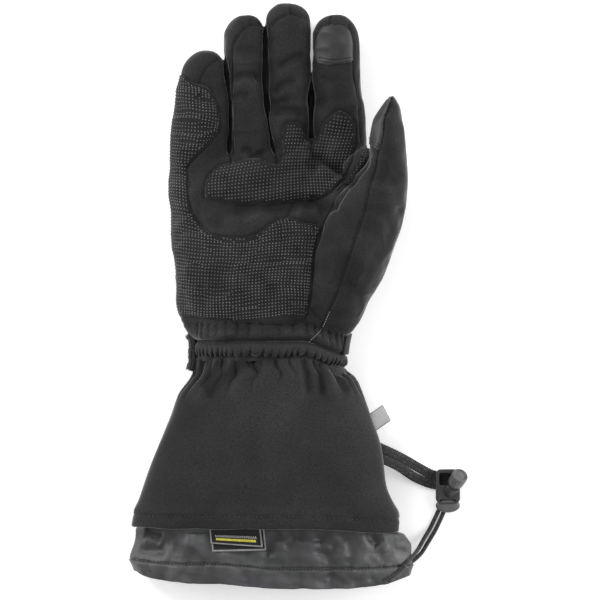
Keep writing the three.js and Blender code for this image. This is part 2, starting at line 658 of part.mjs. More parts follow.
// A turned solid on the plunger's axis, from [radius, distance from the plate] pairs.
function onButtonAxis(profile) {
  const turned = new THREE.LatheGeometry(profile.map(([r, h]) => new THREE.Vector2(r, h)), 20);
  turned.applyQuaternion(new THREE.Quaternion().setFromUnitVectors(new THREE.Vector3(0, 1, 0), BUTTON_AXIS));
  return solidOf(turned.translate(...BUTTON_FOOT));
}

const STEM_DIAMETER = 0.66 * BUTTON_DIAMETER;
const CAP_START = COLLAR_LENGTH + BUTTON_TRAVEL + CLEARANCE;

function lockBody() {
  const halfWidth = LOCK_WIDTH / 2;
  const halfLength = LOCK_LENGTH / 2;
  const corner = 4;
  const plate = new THREE.Shape();
  plate.moveTo(-halfWidth, 6 - halfLength);
  plate.lineTo(-halfWidth, halfLength - corner);
  plate.quadraticCurveTo(-halfWidth, halfLength, corner - halfWidth, halfLength);
  plate.lineTo(halfWidth - corner, halfLength);
  plate.quadraticCurveTo(halfWidth, halfLength, halfWidth, halfLength - corner);
  plate.lineTo(halfWidth, 6 - halfLength);
  plate.quadraticCurveTo(halfWidth - 2, -halfLength, 0, -halfLength);
  plate.quadraticCurveTo(2 - halfWidth, -halfLength, -halfWidth, 6 - halfLength);
  const hole = (x, y, wide, tall) => {
    const path = new THREE.Path();
    path.moveTo(x - wide / 2, y - tall / 2);
    path.lineTo(x + wide / 2, y - tall / 2);
    path.lineTo(x + wide / 2, y + tall / 2);
    path.lineTo(x - wide / 2, y + tall / 2);
    path.closePath();
    plate.holes.push(path);
  };
  hole(2.2 + WINDOW_WIDTH / 2 - halfWidth, halfLength - 2.2 - WINDOW_WIDTH / 2, WINDOW_WIDTH, WINDOW_WIDTH);
  hole(0, 7.6 - halfLength, SLOT_WIDTH, SLOT_HEIGHT);
  const extrusion = { depth: LOCK_THICKNESS, bevelEnabled: false, curveSegments: 4 };
  const flat = new THREE.ExtrudeGeometry(plate, extrusion).translate(LOCK_PLACE.x, LOCK_PLACE.y, LOCK_LIFT);
  const inner = STEM_DIAMETER / 2 + CLEARANCE;
  const outer = inner + COLLAR_WALL;
  const slotTop = LOCK_PLACE.y + 9 - halfLength;
  const pastSlot = [[-FAR, slotTop], [FAR, slotTop], [FAR, FAR], [-FAR, FAR]];
  const clearOfSlot = prism(pastSlot, LOCK_LIFT + LOCK_THICKNESS / 2);
  const foot = -LOCK_THICKNESS;
  const collar = onButtonAxis([[0, foot], [outer, foot], [outer, COLLAR_LENGTH], [0, COLLAR_LENGTH]]);
  const bore = onButtonAxis([[0, 0], [inner, 0], [inner, FAR], [0, FAR]]);
  const body = solidOf(flat).add(collar.intersect(clearOfSlot)).subtract(bore);
  return meshOf("cord_lock_body", body, plastic);
}

function lockButton() {
  const stem = STEM_DIAMETER / 2;
  const cap = BUTTON_DIAMETER / 2;
  const low = BUTTON_TRAVEL + CLEARANCE;
  const high = BUTTON_LENGTH;
  const edge = 0.9; // rounding of the cap's rim
  const profile = [
    [0, low], [stem, low], [stem, CAP_START], [cap - 0.4, CAP_START], [cap, CAP_START + 0.4],
    [cap, high - edge], [cap - 0.3 * edge, high - 0.3 * edge], [cap - edge, high], [0, high + 0.5],
  ];
  return meshOf("cord_lock_button", onButtonAxis(profile), plastic);
}

// Two flat strands, side by side, from the cuff's side down to the surface and under the lock.
function pullStrands() {
  const lie = STRAND_THICKNESS / 2;
  const middle = [
    [66, -69, 19], [75, -73.3, 16], [84.5, -78.2, 10.5], [95, -84.8, 5],
    [104, -89, lie + 0.5], [109, -90, lie], [LOCK_PLACE.x + 2, -90.2, lie],
  ];
  const apart = (STRAND_WIDTH + CLEARANCE) / 2;
  return [-1, 1].map((side) => {
    const points = middle.map(([x, y, z], i) => {
      const slant = degToRad(i < 4 ? 62 : 75);
      return new THREE.Vector3(x + side * apart * Math.cos(slant), y + side * apart * Math.sin(slant), z);
    });
    const name = side < 0 ? "pull_strand_lower" : "pull_strand_upper";
    return meshOf(name, strand(points, 10).subtract(bodySolid(CLEARANCE)), braid);
  });
}

// The two ends of the drawcord leave the lock, run to the skirt's corner and end in its hem: one
// over the front at the eyelet, the other at the side seam.
function drawcords() {
  const lie = CORD_DIAMETER / 2 + 0.25;
  const over = TUNNEL_WALL + CLEARANCE + CORD_DIAMETER / 2 + 0.4;
  const onHem = (x, y, more = 0) => skirtPoint(x, y, over + more);
  const { x, y } = EYELET_PLACE;
  const front = [
    new THREE.Vector3(112.3, -102.5, lie),
    new THREE.Vector3(109, -109, lie),
    new THREE.Vector3(106.8, -113.8, lie),
    new THREE.Vector3(103.3, -121, lie),
    new THREE.Vector3(98.6, -128.7, lie + 3.5),
    new THREE.Vector3(95.4, -134, lie + 8),
    onHem(0.478 * SKIRT_WIDTH, -CUFF_LENGTH - 0.6 * SKIRT_LENGTH, 1),
    onHem(0.448 * SKIRT_WIDTH, -CUFF_LENGTH - 0.74 * SKIRT_LENGTH, EYELET_THICKNESS),
    onHem(x, y, EYELET_THICKNESS + 0.6),
  ];
  const side = [
    new THREE.Vector3(115.6, -103.5, lie),
    new THREE.Vector3(112.4, -110, lie),
    new THREE.Vector3(110.2, -115, lie),
    new THREE.Vector3(106.6, -122.4, lie),
    new THREE.Vector3(101.8, -130.4, lie + 0.3),
    new THREE.Vector3(97.4, -137, lie + 3.5),
    new THREE.Vector3(90, -143, lie + 8),
    new THREE.Vector3(84, -146, lie + 9),
  ];
  const round = new THREE.Shape().absarc(0, 0, CORD_DIAMETER / 2, 0, 2 * Math.PI);
  const cord = (points) => {
    const extrudePath = new THREE.CatmullRomCurve3(points, false, "centripetal");
    const steps = Math.round(extrudePath.getLength() / (2 * CORD_DIAMETER));
    return solidOf(new THREE.ExtrudeGeometry(round, { extrudePath, steps, curveSegments: 4 }));
  };
  const skirtClear = skirtSolid(CLEARANCE);
  return [
    meshOf("drawcord_front", cord(front).subtract(skirtClear), braid),
    meshOf("drawcord_side", cord(side).subtract(skirtClear), braid),
  ];
}

const glove = new THREE.Group();
glove.name = "heated_glove";
glove.add(
  palmBody(),
  ...fingerMeshes(),
  thumb(),
  cuff(),
  skirt(),
  ...gripPatches(),
  ...touchPatches(),
  ...strap(),
  ...labels(),
  sideTab(),
  eyelet(),
  lockBody(),
  lockButton(),
  ...pullStrands(),
  ...drawcords(),
);

export default glove;
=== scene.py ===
"""A right-hand winter glove with a long flared cuff, lying palm up on a pale table.

Shapes are worked out in millimetres and put into Blender in metres: +X runs to the thumb's side,
+Y to the fingertips and +Z up out of the palm. The origin is on the wrist seam at table height.
"""
import itertools
import math

import bmesh
import bpy
import numpy as np
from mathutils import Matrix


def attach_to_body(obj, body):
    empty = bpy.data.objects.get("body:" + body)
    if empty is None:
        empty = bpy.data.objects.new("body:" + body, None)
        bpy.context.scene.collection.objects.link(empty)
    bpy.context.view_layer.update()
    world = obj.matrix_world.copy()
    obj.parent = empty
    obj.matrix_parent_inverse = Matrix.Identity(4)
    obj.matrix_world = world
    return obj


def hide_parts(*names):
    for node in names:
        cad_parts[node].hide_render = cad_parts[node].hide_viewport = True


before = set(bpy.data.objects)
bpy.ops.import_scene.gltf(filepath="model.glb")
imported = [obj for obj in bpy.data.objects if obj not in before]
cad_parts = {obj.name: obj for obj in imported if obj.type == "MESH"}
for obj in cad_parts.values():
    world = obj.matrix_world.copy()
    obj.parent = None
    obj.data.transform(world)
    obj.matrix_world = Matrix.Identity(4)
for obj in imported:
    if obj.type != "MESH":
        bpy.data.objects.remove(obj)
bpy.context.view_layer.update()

MM = 0.001
UP = np.array([0.0, 0.0, 1.0])
TINY = 1e-9
BODY = "glove"

# Sizes of the hand
HAND_LENGTH = 218.0
PALM_LENGTH = 118.0
PALM_WIDTH = 127.0
PALM_THICKNESS = 42.0
FINGER_THICKNESS = 27.0
FINGER_CURL = 8.0
FINGER_DOME = 15.0
FINGER_OVERLAP = 0.2  # neighbouring fingers touch, and share this much
CROTCH_RISE = 10.0
THUMB_LENGTH = 154.0
THUMB_REACH = 88.0
THUMB_HEIGHT = 62.0
THUMB_START = 4.0

# Sizes of the wrist, the cuff and the skirt
WRIST_WIDTH = 97.0
WRIST_THICKNESS = 37.0
WRIST_DROP = 8.0
CUFF_LENGTH = 119.0
CUFF_WIDTH = 170.0
CUFF_THICKNESS = 46.0
CUFF_SWAY = -4.0
CUFF_WALL = 2.5
HEM_BULGE = 1.6
HEM_DROP = 3.0
SKIRT_LENGTH = 39.0
SKIRT_WIDTH = 182.0
SKIRT_THICKNESS = 38.0
SKIRT_ROUNDING = 9.0
SKIRT_SLANT = 3.0
TUNNEL_HEIGHT = 13.0
TUNNEL_WALL = 0.9

# Sizes of what is sewn on
STRAP_THICKNESS = 2.0
STRAP_GAP = 0.3
STRAP_LIFT = STRAP_THICKNESS + STRAP_GAP
STRAP_WIDTH = 24.0
STRAP_ROOT_WIDTH = 13.0
DOT_PITCH = 2.1
WEB_PITCH = 1.7
GRIP_CLEAR = 4.0  # the lattice of dots is drawn this far off the palm before it is laid on it
DOT_RADIUS = 0.52
DOT_HEIGHT = 0.38
DOT_MARGIN = 0.9  # the least distance from a dot's middle to the cloth's edge
PATCH_CLOTH = 0.5
STRAND_WIDTH = 6.0
CORD_DIAMETER = 2.6

# Points round the sections of each skin
PALM_SIDES = 160
THUMB_SIDES = 120
FINGER_SIDES = 96
WEB_SIDES = 48
CUFF_SIDES = 500
LINING_SIDES = 120
SKIRT_SIDES = 520
STRAND_SIDES = 48
CORD_SIDES = 24

SOFT_CORNER = 2.3  # exponent of the rounded sections, where 2 is an ellipse
FOOT_DEPTH = 1.25  # how much deeper the lower half of a section is drawn before its foot cuts it
LEVEL = 0.42  # the share of its height at which a section is widest

# The camera looks straight down, and its picture takes in this much of the table
VIEW_WIDTH = 390.0
VIEW_CENTRE = (18.85, 27.3)
CAMERA_HEIGHT = 2500.0
DROP_HEIGHT = 120.0  # points are laid on the glove from here, above all of it
SENSOR_WIDTH = 36.0


def smoothstep(x, low, high):
    """0 below low, 1 above high, and 3t^2 - 2t^3 between them."""
    t = np.clip((x - low) / (high - low), 0, 1)
    return t * t * (3 - 2 * t)


def monotone(x, knots, values):
    """A smooth curve through (knots, values) that never overshoots them: a cubic Hermite spline
    whose slope at each knot is the harmonic mean of the slopes on its two sides."""
    knots = np.asarray(knots, float)
    values = np.asarray(values, float)
    x = np.clip(x, knots[0], knots[-1])
    step = np.diff(knots)
    slope = np.diff(values, axis=0) / step[:, None]
    product = slope[1:] * slope[:-1]
    total = np.where(product > 0, slope[1:] + slope[:-1], 1)
    mean = np.where(product > 0, 2 * product / total, 0)
    tangent = np.concatenate([slope[:1], mean, slope[-1:]])
    i = np.clip(np.searchsorted(knots, x) - 1, 0, len(knots) - 2)
    h = step[i][..., None]
    t = (x - knots[i])[..., None] / h
    start = (1 + 2 * t) * (1 - t) ** 2 * values[i] + t * (1 - t) ** 2 * h * tangent[i]
    end = t * t * (3 - 2 * t) * values[i + 1] + t * t * (t - 1) * h * tangent[i + 1]
    return start + end


def lattice_noise(points, size, seed):
    """Soft random heights from -1 to 1: random numbers at the corners of a lattice with cells of
    that size, blended inside each cell by the smoothstep of the place in it."""
    table = np.random.default_rng(seed).uniform(-1, 1, (32, 32, 32))
    place = points / size + 500.0
    cell = np.floor(place).astype(int)
    share = place - cell
    share = share * share * (3 - 2 * share)
    total = np.zeros(points.shape[:-1])
    for corner in itertools.product((0, 1), repeat=3):
        weight = np.prod(np.where(corner, share, 1 - share), axis=-1)
        i = (cell + corner) % 32
        total += weight * table[i[..., 0], i[..., 1], i[..., 2]]
    return total


def ridged(points, size, seed):
    """Sharp-crested random folds from 0 to 1: one minus the size of soft noise, squared."""
    return (1 - np.abs(lattice_noise(points, size, seed))) ** 2


def unit(vectors, least=0.0):
    """Vectors brought to length 1. Where some may have no length, least keeps the sum above 0."""
    return vectors / (np.linalg.norm(vectors, axis=-1, keepdims=True) + least)


def run_along(line):
    """The distance from a line's start to each of its points, along the line."""
    return np.concatenate([[0], np.cumsum(np.linalg.norm(np.diff(line, axis=0), axis=1))])


# Meshes

def grid_faces(rows, sides, ring=True, loop=False):
    """Four-sided faces between the neighbours of a grid of points that is stored row by row.
    ring joins each row's last point to its first, and loop the last row to the first."""
    r = np.arange(rows if loop else rows - 1)[:, None]
    k = np.arange(sides if ring else sides - 1)[None, :]
    r2 = (r + 1) % rows
    k2 = (k + 1) % sides
    corners = [r * sides + k, r2 * sides + k, r2 * sides + k2, r * sides + k2]
    return np.stack(np.broadcast_arrays(*corners), axis=-1).reshape(-1, 4)


def tube(rings):
    """A skin over rings (rows, sides, 3). Each end is closed by a fan to the middle of its ring."""
    rows, sides, _ = rings.shape
    k = np.arange(sides)
    k2 = (k + 1) % sides
    last = (rows - 1) * sides
    middle = np.full(sides, rows * sides)
    first_cap = np.stack([k, k2, middle], axis=1)
    last_cap = np.stack([last + k2, last + k, middle + 1], axis=1)
    points = np.concatenate([rings.reshape(-1, 3), rings[:1].mean(axis=1), rings[-1:].mean(axis=1)])
    return points, [grid_faces(rows, sides), first_cap, last_cap]


def joined(shapes):
    """Several (points, faces) shapes as one."""
    points = []
    faces = []
    start = 0
    for some_points, some_faces in shapes:
        points.append(some_points)
        faces += [f + start for f in some_faces]
        start += len(some_points)
    return np.concatenate(points), faces


def repeated(shape, places, frames):
    """A small shape copied to many places, turned by a 3 by 3 frame at each: place + frame @ point."""
    points, faces = shape
    copies = places[:, None, :] + np.einsum("nij,pj->npi", frames, points)
    starts = (np.arange(len(places)) * len(points))[:, None, None]
    return copies.reshape(-1, 3), [(f[None] + starts).reshape(-1, f.shape[1]) for f in faces]


def mesh_of(name, points, faces):
    """A smooth-shaded Blender mesh from points in millimetres and arrays of faces."""
    mesh = bpy.data.meshes.new(name)
    corners = np.concatenate([f.ravel() for f in faces])
    sizes = np.concatenate([np.full(len(f), f.shape[1]) for f in faces])
    starts = np.concatenate([[0], np.cumsum(sizes)[:-1]])
    mesh.vertices.add(len(points))
    mesh.vertices.foreach_set("co", (np.asarray(points) * MM).astype(np.float32).ravel())
    mesh.loops.add(len(corners))
    mesh.loops.foreach_set("vertex_index", corners.astype(np.int32))
    mesh.polygons.add(len(sizes))
    mesh.polygons.foreach_set("loop_start", starts.astype(np.int32))
    mesh.polygons.foreach_set("use_smooth", np.ones(len(sizes), bool))
    mesh.update(calc_edges=True)
    return mesh


def object_of(name, shape, material=None):
    """A (points, faces) shape as an object at the origin."""
    piece = bpy.data.objects.new(name, mesh_of(name, *shape))
    bpy.context.scene.collection.objects.link(piece)
    if material:
        piece.data.materials.append(material)
    return piece


def attach(piece, slot, *nodes, body=BODY):
    """The piece rides on a body and stands for some nodes, whose parts it hides. The slot is not used."""
    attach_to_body(piece, body)
    if nodes:
        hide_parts(*nodes)
    return piece


def read_points(mesh):
    """A mesh's points in millimetres."""
    flat = np.empty(len(mesh.vertices) * 3)
    mesh.vertices.foreach_get("co", flat)
    return flat.reshape(-1, 3) / MM


def read_normals(mesh):
    """The smooth normals of a mesh's points."""
    flat = np.empty(len(mesh.vertices) * 3)
    mesh.vertex_normals.foreach_get("vector", flat)
    return flat.reshape(-1, 3)


def write_points(mesh, points):
    """Moves a mesh's points to places in millimetres."""
    mesh.vertices.foreach_set("co", (points * MM).ravel())
    mesh.update()


def paint_shade(mesh, tone_and_painted_shade):
    """Keeps a factor of painted shade at each point, which multiplies the colour: below 1 in its hollows,
    where it is painted shade, and above 1 on top, where it is a painted highlight.
    """
    attribute = mesh.attributes.new("tone_and_painted_shade", "FLOAT", "POINT")
    attribute.data.foreach_set("value", np.ascontiguousarray(tone_and_painted_shade, np.float32).ravel())


def read_faces(mesh):
    """A mesh's faces as arrays: its four-sided ones and its triangles."""
    sizes = np.empty(len(mesh.polygons), np.int32)
    starts = np.empty(len(mesh.polygons), np.int32)
    corners = np.empty(len(mesh.loops), np.int32)
    mesh.polygons.foreach_get("loop_total", sizes)
    mesh.polygons.foreach_get("loop_start", starts)
    mesh.loops.foreach_get("vertex_index", corners)
    return [corners[starts[sizes == n][:, None] + np.arange(n)] for n in (4, 3)]


def evaluated(piece):
    """The mesh that a piece has once its modifiers are applied."""
    graph = bpy.context.evaluated_depsgraph_get()
    return bpy.data.meshes.new_from_object(piece.evaluated_get(graph))


def settle_modifiers(piece):
    """Applies every modifier of a piece to its mesh."""
    made = evaluated(piece)
    made.name = piece.name
    old = piece.data
    piece.modifiers.clear()
    piece.data = made
    bpy.data.meshes.remove(old)
    return piece


def solidify(piece, thickness, offset=-1.0):
    """Gives a sheet a wall, inwards with an offset of -1 and outwards with 1."""
    wall = piece.modifiers.new("wall", "SOLIDIFY")
    wall.thickness = thickness * MM
    wall.offset = offset
    wall.use_even_offset = False
    return settle_modifiers(piece)


def smooth(piece, factor, rounds):
    """Moves each point towards the mean of its neighbours by a factor, for some rounds."""
    soften = piece.modifiers.new("soften", "SMOOTH")
    soften.factor = factor
    soften.iterations = rounds
    return settle_modifiers(piece)


def laid_on(points, target, straight_down=True):
    """Where points come to lie on a surface: straight below them, or at the nearest place."""
    shape = points.shape
    mesh = bpy.data.meshes.new("probe")
    flat = points.reshape(-1, 3)
    mesh.vertices.add(len(flat))
    mesh.vertices.foreach_set("co", (flat * MM).ravel())
    probe = bpy.data.objects.new("probe", mesh)
    bpy.context.scene.collection.objects.link(probe)
    wrap = probe.modifiers.new("lay", "SHRINKWRAP")
    wrap.target = target
    wrap.wrap_method = "PROJECT" if straight_down else "NEAREST_SURFACEPOINT"
    if straight_down:
        wrap.use_project_z = True
        wrap.use_negative_direction = True
        wrap.use_positive_direction = False
    laid = read_points(evaluated(probe))
    bpy.data.objects.remove(probe)
    bpy.data.meshes.remove(mesh)
    return laid.reshape(shape)


# Lines and outlines seen from above

def line_distance(points, line):
    """Distance from above of each point to a bent line, and the share of the line's length at
    which it is nearest: the least over the line's straight stretches."""
    line = np.asarray(line, float)
    spans = np.diff(line, axis=0)
    lengths = np.hypot(*spans.T)
    starts = np.concatenate([[0], np.cumsum(lengths)])
    best = np.full(len(points), np.inf)
    place = np.zeros(len(points))
    for start, span, length, before in zip(line, spans, lengths, starts):
        t = np.clip(((points[:, :2] - start) @ span) / (length**2 + TINY), 0, 1)
        d = np.hypot(*(points[:, :2] - start - t[:, None] * span).T)
        nearer = d < best
        best = np.where(nearer, d, best)
        place = np.where(nearer, (before + t * length) / starts[-1], place)
    return best, place


def inside(points, outline):
    """Distance from above of each point to an outline, negative inside it: a point is inside when
    a ray from it crosses the outline an odd number of times."""
    outline = np.asarray(outline, float)
    closed = np.concatenate([outline, outline[:1]])
    distance, _ = line_distance(points, closed)
    x, y = points[:, 0], points[:, 1]
    odd = np.zeros(len(points), bool)
    for (ax, ay), (bx, by) in zip(closed[:-1], closed[1:]):
        spans_y = (ay > y) != (by > y)
        cross = ax + (y - ay) * (bx - ax) / (by - ay if by != ay else 1)
        odd ^= spans_y & (x < cross)
    return np.where(odd, -distance, distance)


def rounded_line(pairs, closed=False, spacing=1.5):
    """Points at even spacing on a centripetal Catmull-Rom curve through a few points: between two
    of them, three rounds of straight blends whose knots are spaced by the root of the distance."""
    p = np.asarray(pairs, float)
    if closed:
        p = np.concatenate([p[-1:], p, p[:2]])
    else:
        p = np.concatenate([2 * p[:1] - p[1:2], p, 2 * p[-1:] - p[-2:-1]])
    share = np.linspace(0, 1, 24, endpoint=False)[:, None]
    made = []
    for a, b, c, d in zip(p[:-3], p[1:-2], p[2:-1], p[3:]):
        ta = 0.0
        tb = ta + np.linalg.norm(b - a) ** 0.5
        tc = tb + np.linalg.norm(c - b) ** 0.5
        td = tc + np.linalg.norm(d - c) ** 0.5
        t = tb + (tc - tb) * share
        ab = (tb - t) / (tb - ta) * a + (t - ta) / (tb - ta) * b
        bc = (tc - t) / (tc - tb) * b + (t - tb) / (tc - tb) * c
        cd = (td - t) / (td - tc) * c + (t - tc) / (td - tc) * d
        abc = (tc - t) / (tc - ta) * ab + (t - ta) / (tc - ta) * bc
        bcd = (td - t) / (td - tb) * bc + (t - tb) / (td - tb) * cd
        made.append((tc - t) / (tc - tb) * abc + (t - tb) / (tc - tb) * bcd)
    fine = np.concatenate(made + [p[-2:-1]])
    along = run_along(fine)
    count = max(2, round(along[-1] / spacing) + 1)
    wanted = np.linspace(0, along[-1], count)
    return np.stack([np.interp(wanted, along, column) for column in fine.T], axis=1)


# The shapes of the hand and the cuff

PALM_TABLE = [
    # along, left, right, level, top, lift
    [1.035, -0.49, 0.47, 0.34, 0.6, 0.6],
    [0.99, -0.507, 0.487, 0.36, 0.74, 0],
    [0.89, -0.512, 0.488, 0.4, 0.87, 0],
    [0.76, -0.504, 0.48, 0.42, 0.95, 0],
    [0.56, -0.502, 0.472, 0.43, 1, 0],
    [0.365, -0.476, 0.457, 0.43, 1, 0],
    [0.23, -0.472, 0.441, 0.42, 0.96, 0.3],
    [0.105, -0.449, 0.41, 0.4, 0.9, 1],
]
CUFF_TABLE = [
    # along, left, right, top, lift
    [0, 0, 0.02, 0, 1],
    [0.035, 0, 0, 0, 1],
    [0.09, 0, -0.02, -0.1, 1],
    [0.17, 0.07, 0.17, 0.15, 1],
    [0.28, 0.31, 0.33, 0.4, 0.4],
    [0.4, 0.43, 0.47, 0.62, 0],
    [0.56, 0.61, 0.69, 0.8, 0],
    [0.78, 0.84, 0.81, 0.95, 0],
    [0.91, 0.95, 1.0, 1, 0],
    [1, 1, 1, 1, 0],
]
SKIRT_TABLE = [
    # along, left, right, top
    [0.06, 0.965, 0.95, 1.02],
    [0.25, 0.975, 1, 1],
    [0.63, 1, 1, 0.96],
    [1, 0.97, 0.98, 0.92],
]


def body_rows():
    """Rows of y, left, right, level, top and foot for the palm and the cuff, from the hem up."""
    a = np.array(PALM_TABLE)
    widths = [a[:, 1] * PALM_WIDTH, a[:, 2] * PALM_WIDTH]
    heights = [a[:, 3] * PALM_THICKNESS, a[:, 4] * PALM_THICKNESS, a[:, 5] * STRAP_LIFT]
    palm = np.stack([a[:, 0] * PALM_LENGTH, *widths, *heights], axis=1)
    c = np.array(CUFF_TABLE)
    half = CUFF_WIDTH / 2
    left = -WRIST_WIDTH / 2 + c[:, 1] * (CUFF_SWAY - half + WRIST_WIDTH / 2)
    right = WRIST_WIDTH / 2 + c[:, 2] * (CUFF_SWAY + half - WRIST_WIDTH / 2)
    top = WRIST_THICKNESS + c[:, 3] * (CUFF_THICKNESS - WRIST_THICKNESS)
    cuff = np.stack([-c[:, 0] * CUFF_LENGTH, left, right, LEVEL * top, top, c[:, 4] * STRAP_LIFT], axis=1)
    rows = np.concatenate([palm, cuff])
    return rows[np.argsort(rows[:, 0])]


def skirt_rows():
    """Rows of y, left, right, level, top and foot for the skirt, from its lower edge up."""
    s = np.array(SKIRT_TABLE)[::-1]
    y = -CUFF_LENGTH - s[:, 0] * SKIRT_LENGTH
    half = SKIRT_WIDTH / 2
    top = SKIRT_THICKNESS * s[:, 3]
    return np.stack([y, -s[:, 1] * half, s[:, 2] * half, LEVEL * top, top, 0 * y], axis=1)


BODY_ROWS = body_rows()
SKIRT_ROWS = skirt_rows()


def bent(v):
    """A sine or cosine bent into a section with fuller corners: its size to the power 2 / 2.3."""
    return np.sign(v) * np.abs(v) ** (2 / SOFT_CORNER)


def section(turn, y, rows, grow=0.0):
    """Points of rounded sections square to Y: a superellipse through the row's left, right, top
    and level, grown outwards by grow, deeper below its level and cut flat at its foot."""
    turn, y, grow = np.broadcast_arrays(turn, y, grow)
    left, right, level, top, foot = np.moveaxis(monotone(y, rows[:, 0], rows[:, 1:]), -1, 0)
    s = bent(np.sin(turn))
    x = (left + right) / 2 + ((right - left) / 2 + grow) * bent(np.cos(turn))
    height = np.where(s > 0, top - level, (level - foot) * FOOT_DEPTH) + grow
    return np.stack([x, y, np.maximum(level + height * s, foot - grow)], axis=-1)


def full_turn(sides):
    """Angles round a section, from the thumb's side over the top."""
    return np.linspace(0, 2 * np.pi, sides, endpoint=False)


SEAM_TABLE = [
    # along, outer side, little-ring, ring-middle, middle-index, index side
    [-0.3, -0.5, -0.23, 0.03, 0.205, 0.48],
    [0, -0.505, -0.21, 0.03, 0.205, 0.486],
    [0.2, -0.494, -0.207, -0.01, 0.205, 0.483],
    [0.4, -0.476, -0.21, -0.023, 0.205, 0.463],
    [0.6, -0.446, -0.228, -0.026, 0.206, 0.453],
    [0.8, -0.4, -0.238, -0.026, 0.207, 0.44],
    [1, -0.36, -0.22, -0.026, 0.207, 0.425],
]
FINGER_REACH = [0.864, 0.965, 1.0, 0.968]  # little, ring, middle, index, as shares of HAND_LENGTH
SLIT_WIDTH = 2.0  # the middle and index fingers stand this far apart
SLIT_REACH = (136.0, 150.0)  # where the slit between them opens


def finger_rings(place):
    """Rings of one finger from inside the palm to its tip: superellipses between two seam lines,
    lifted by the square of the way to the tip. At the tip they shrink by the cosine of an angle,
    to the power 0.8, while Y grows by its sine."""
    past = HAND_LENGTH - PALM_LENGTH
    tip = FINGER_REACH[place] * HAND_LENGTH
    dome_start = tip - FINGER_DOME
    straight = np.linspace(PALM_LENGTH - 0.26 * past, dome_start, 56, endpoint=False)
    angle = np.linspace(0, 0.5 * np.pi - 0.06, 14)
    y = np.concatenate([straight, dome_start + FINGER_DOME * np.sin(angle)])
    shrink = np.concatenate([np.ones(len(straight)), np.cos(angle) ** 0.8])
    seams = np.array(SEAM_TABLE)
    lines = monotone(y, PALM_LENGTH + seams[:, 0] * past, seams[:, 1:]) * PALM_WIDTH
    slit = SLIT_WIDTH / 2 * smoothstep(y, *SLIT_REACH)
    left = lines[:, place] - FINGER_OVERLAP + (slit + FINGER_OVERLAP) * (place == 3)
    right = lines[:, place + 1] + FINGER_OVERLAP - (slit + FINGER_OVERLAP) * (place == 2)
    t = np.maximum(0, (y - PALM_LENGTH) / (tip - PALM_LENGTH))
    tall = FINGER_THICKNESS * (1.1 - 0.2 * t)
    turn = full_turn(FINGER_SIDES)[None, :]
    half = ((right - left) / 2)[:, None] * shrink[:, None]
    x = ((left + right) / 2)[:, None] + half * bent(np.cos(turn))
    middle = (FINGER_CURL * t * t + tall / 2)[:, None]
    z = middle + (tall / 2 * shrink)[:, None] * bent(np.sin(turn))
    return np.stack([x, np.broadcast_to(y[:, None], x.shape), np.maximum(z, 0)], axis=-1)


THUMB_TABLE = [
    # along, left, right, low, high
    [0, 0.466, 0.568, 0.16, 0.48],
    [0.068, 0.352, 0.659, 0.13, 0.66],
    [0.152, 0.295, 0.727, 0.12, 0.77],
    [0.253, 0.307, 0.83, 0.12, 0.87],
    [0.355, 0.324, 0.894, 0.15, 0.94],
    [0.456, 0.375, 0.955, 0.21, 0.98],
    [0.574, 0.477, 0.991, 0.29, 1],
    [0.658, 0.599, 0.998, 0.36, 1],
    [0.743, 0.716, 0.99, 0.42, 0.99],
    [0.827, 0.725, 0.975, 0.47, 0.97],
    [0.895, 0.75, 0.96, 0.51, 0.94],
    [0.945, 0.801, 0.945, 0.56, 0.9],
    [0.979, 0.85, 0.92, 0.63, 0.84],
    [1, 0.877, 0.893, 0.71, 0.76],
]


def thumb_rings():
    """Rings of the thumb from its root on the palm to its tip: ellipses square to Y, which lie
    closer together towards the tip."""
    t = np.array(THUMB_TABLE)
    along = 1 - (1 - np.linspace(0, 1, 80)) ** 1.3
    left, right, low, high = monotone(along, t[:, 0], t[:, 1:]).T
    half = np.maximum((right - left) / 2 * THUMB_REACH, 0.6)[:, None]
    tall = np.maximum((high - low) / 2 * THUMB_HEIGHT, 0.6)[:, None]
    turn = full_turn(THUMB_SIDES)[None, :]
    x = ((left + right) / 2 * THUMB_REACH)[:, None] + half * np.cos(turn)
    z = ((low + high) / 2 * THUMB_HEIGHT)[:, None] + tall * np.sin(turn)
    y = THUMB_START + along * THUMB_LENGTH
    return np.stack([x, np.broadcast_to(y[:, None], x.shape), z], axis=-1)


PALM_FOOT = -14.0  # the palm's skin starts inside the cuff, and is cut open a little above that
PALM_OPENING = -12.5


def crotch_shift(x):
    """The crotch beside the index finger lies higher than the other two."""
    return CROTCH_RISE * smoothstep(x, 0.04 * PALM_WIDTH, 0.2 * PALM_WIDTH)


def wrist_line(x):
    """Y of the wrist seam, which drops on the thumb's side."""
    return 1.0 - WRIST_DROP * smoothstep(x, 0.2 * WRIST_WIDTH, 0.5 * WRIST_WIDTH)


def palm_rings():
    """Rings of the palm from inside the cuff up to the crotches."""
    high = PALM_TABLE[0][0] * PALM_LENGTH
    y = np.linspace(PALM_FOOT, high, 90)[:, None]
    rings = section(full_turn(PALM_SIDES)[None, :], y, BODY_ROWS)
    rings[..., 1] += crotch_shift(rings[..., 0]) * smoothstep(y, 0.8 * high, 0.98 * high)
    return rings


# Materials

def grey(level, tint=(1.0, 1.0, 1.0)):
    """A shader colour from a 0 to 255 screen level, by the sRGB curve, times a slight tint."""
    linear = ((level / 255 + 0.055) / 1.055) ** 2.4
    return (linear * tint[0], linear * tint[1], linear * tint[2], 1.0)


def finish(name, roughness, specular=0.25, sheen=0.0, sheen_roughness=0.5):
    """A new material with these values on its shader's own sockets."""
    material = bpy.data.materials.new(name)
    material.use_nodes = True
    shader = material.node_tree.nodes["Principled BSDF"]
    shader.inputs["Roughness"].default_value = roughness
    shader.inputs["Specular IOR Level"].default_value = specular
    shader.inputs["Sheen Weight"].default_value = sheen
    shader.inputs["Sheen Roughness"].default_value = sheen_roughness
    return material


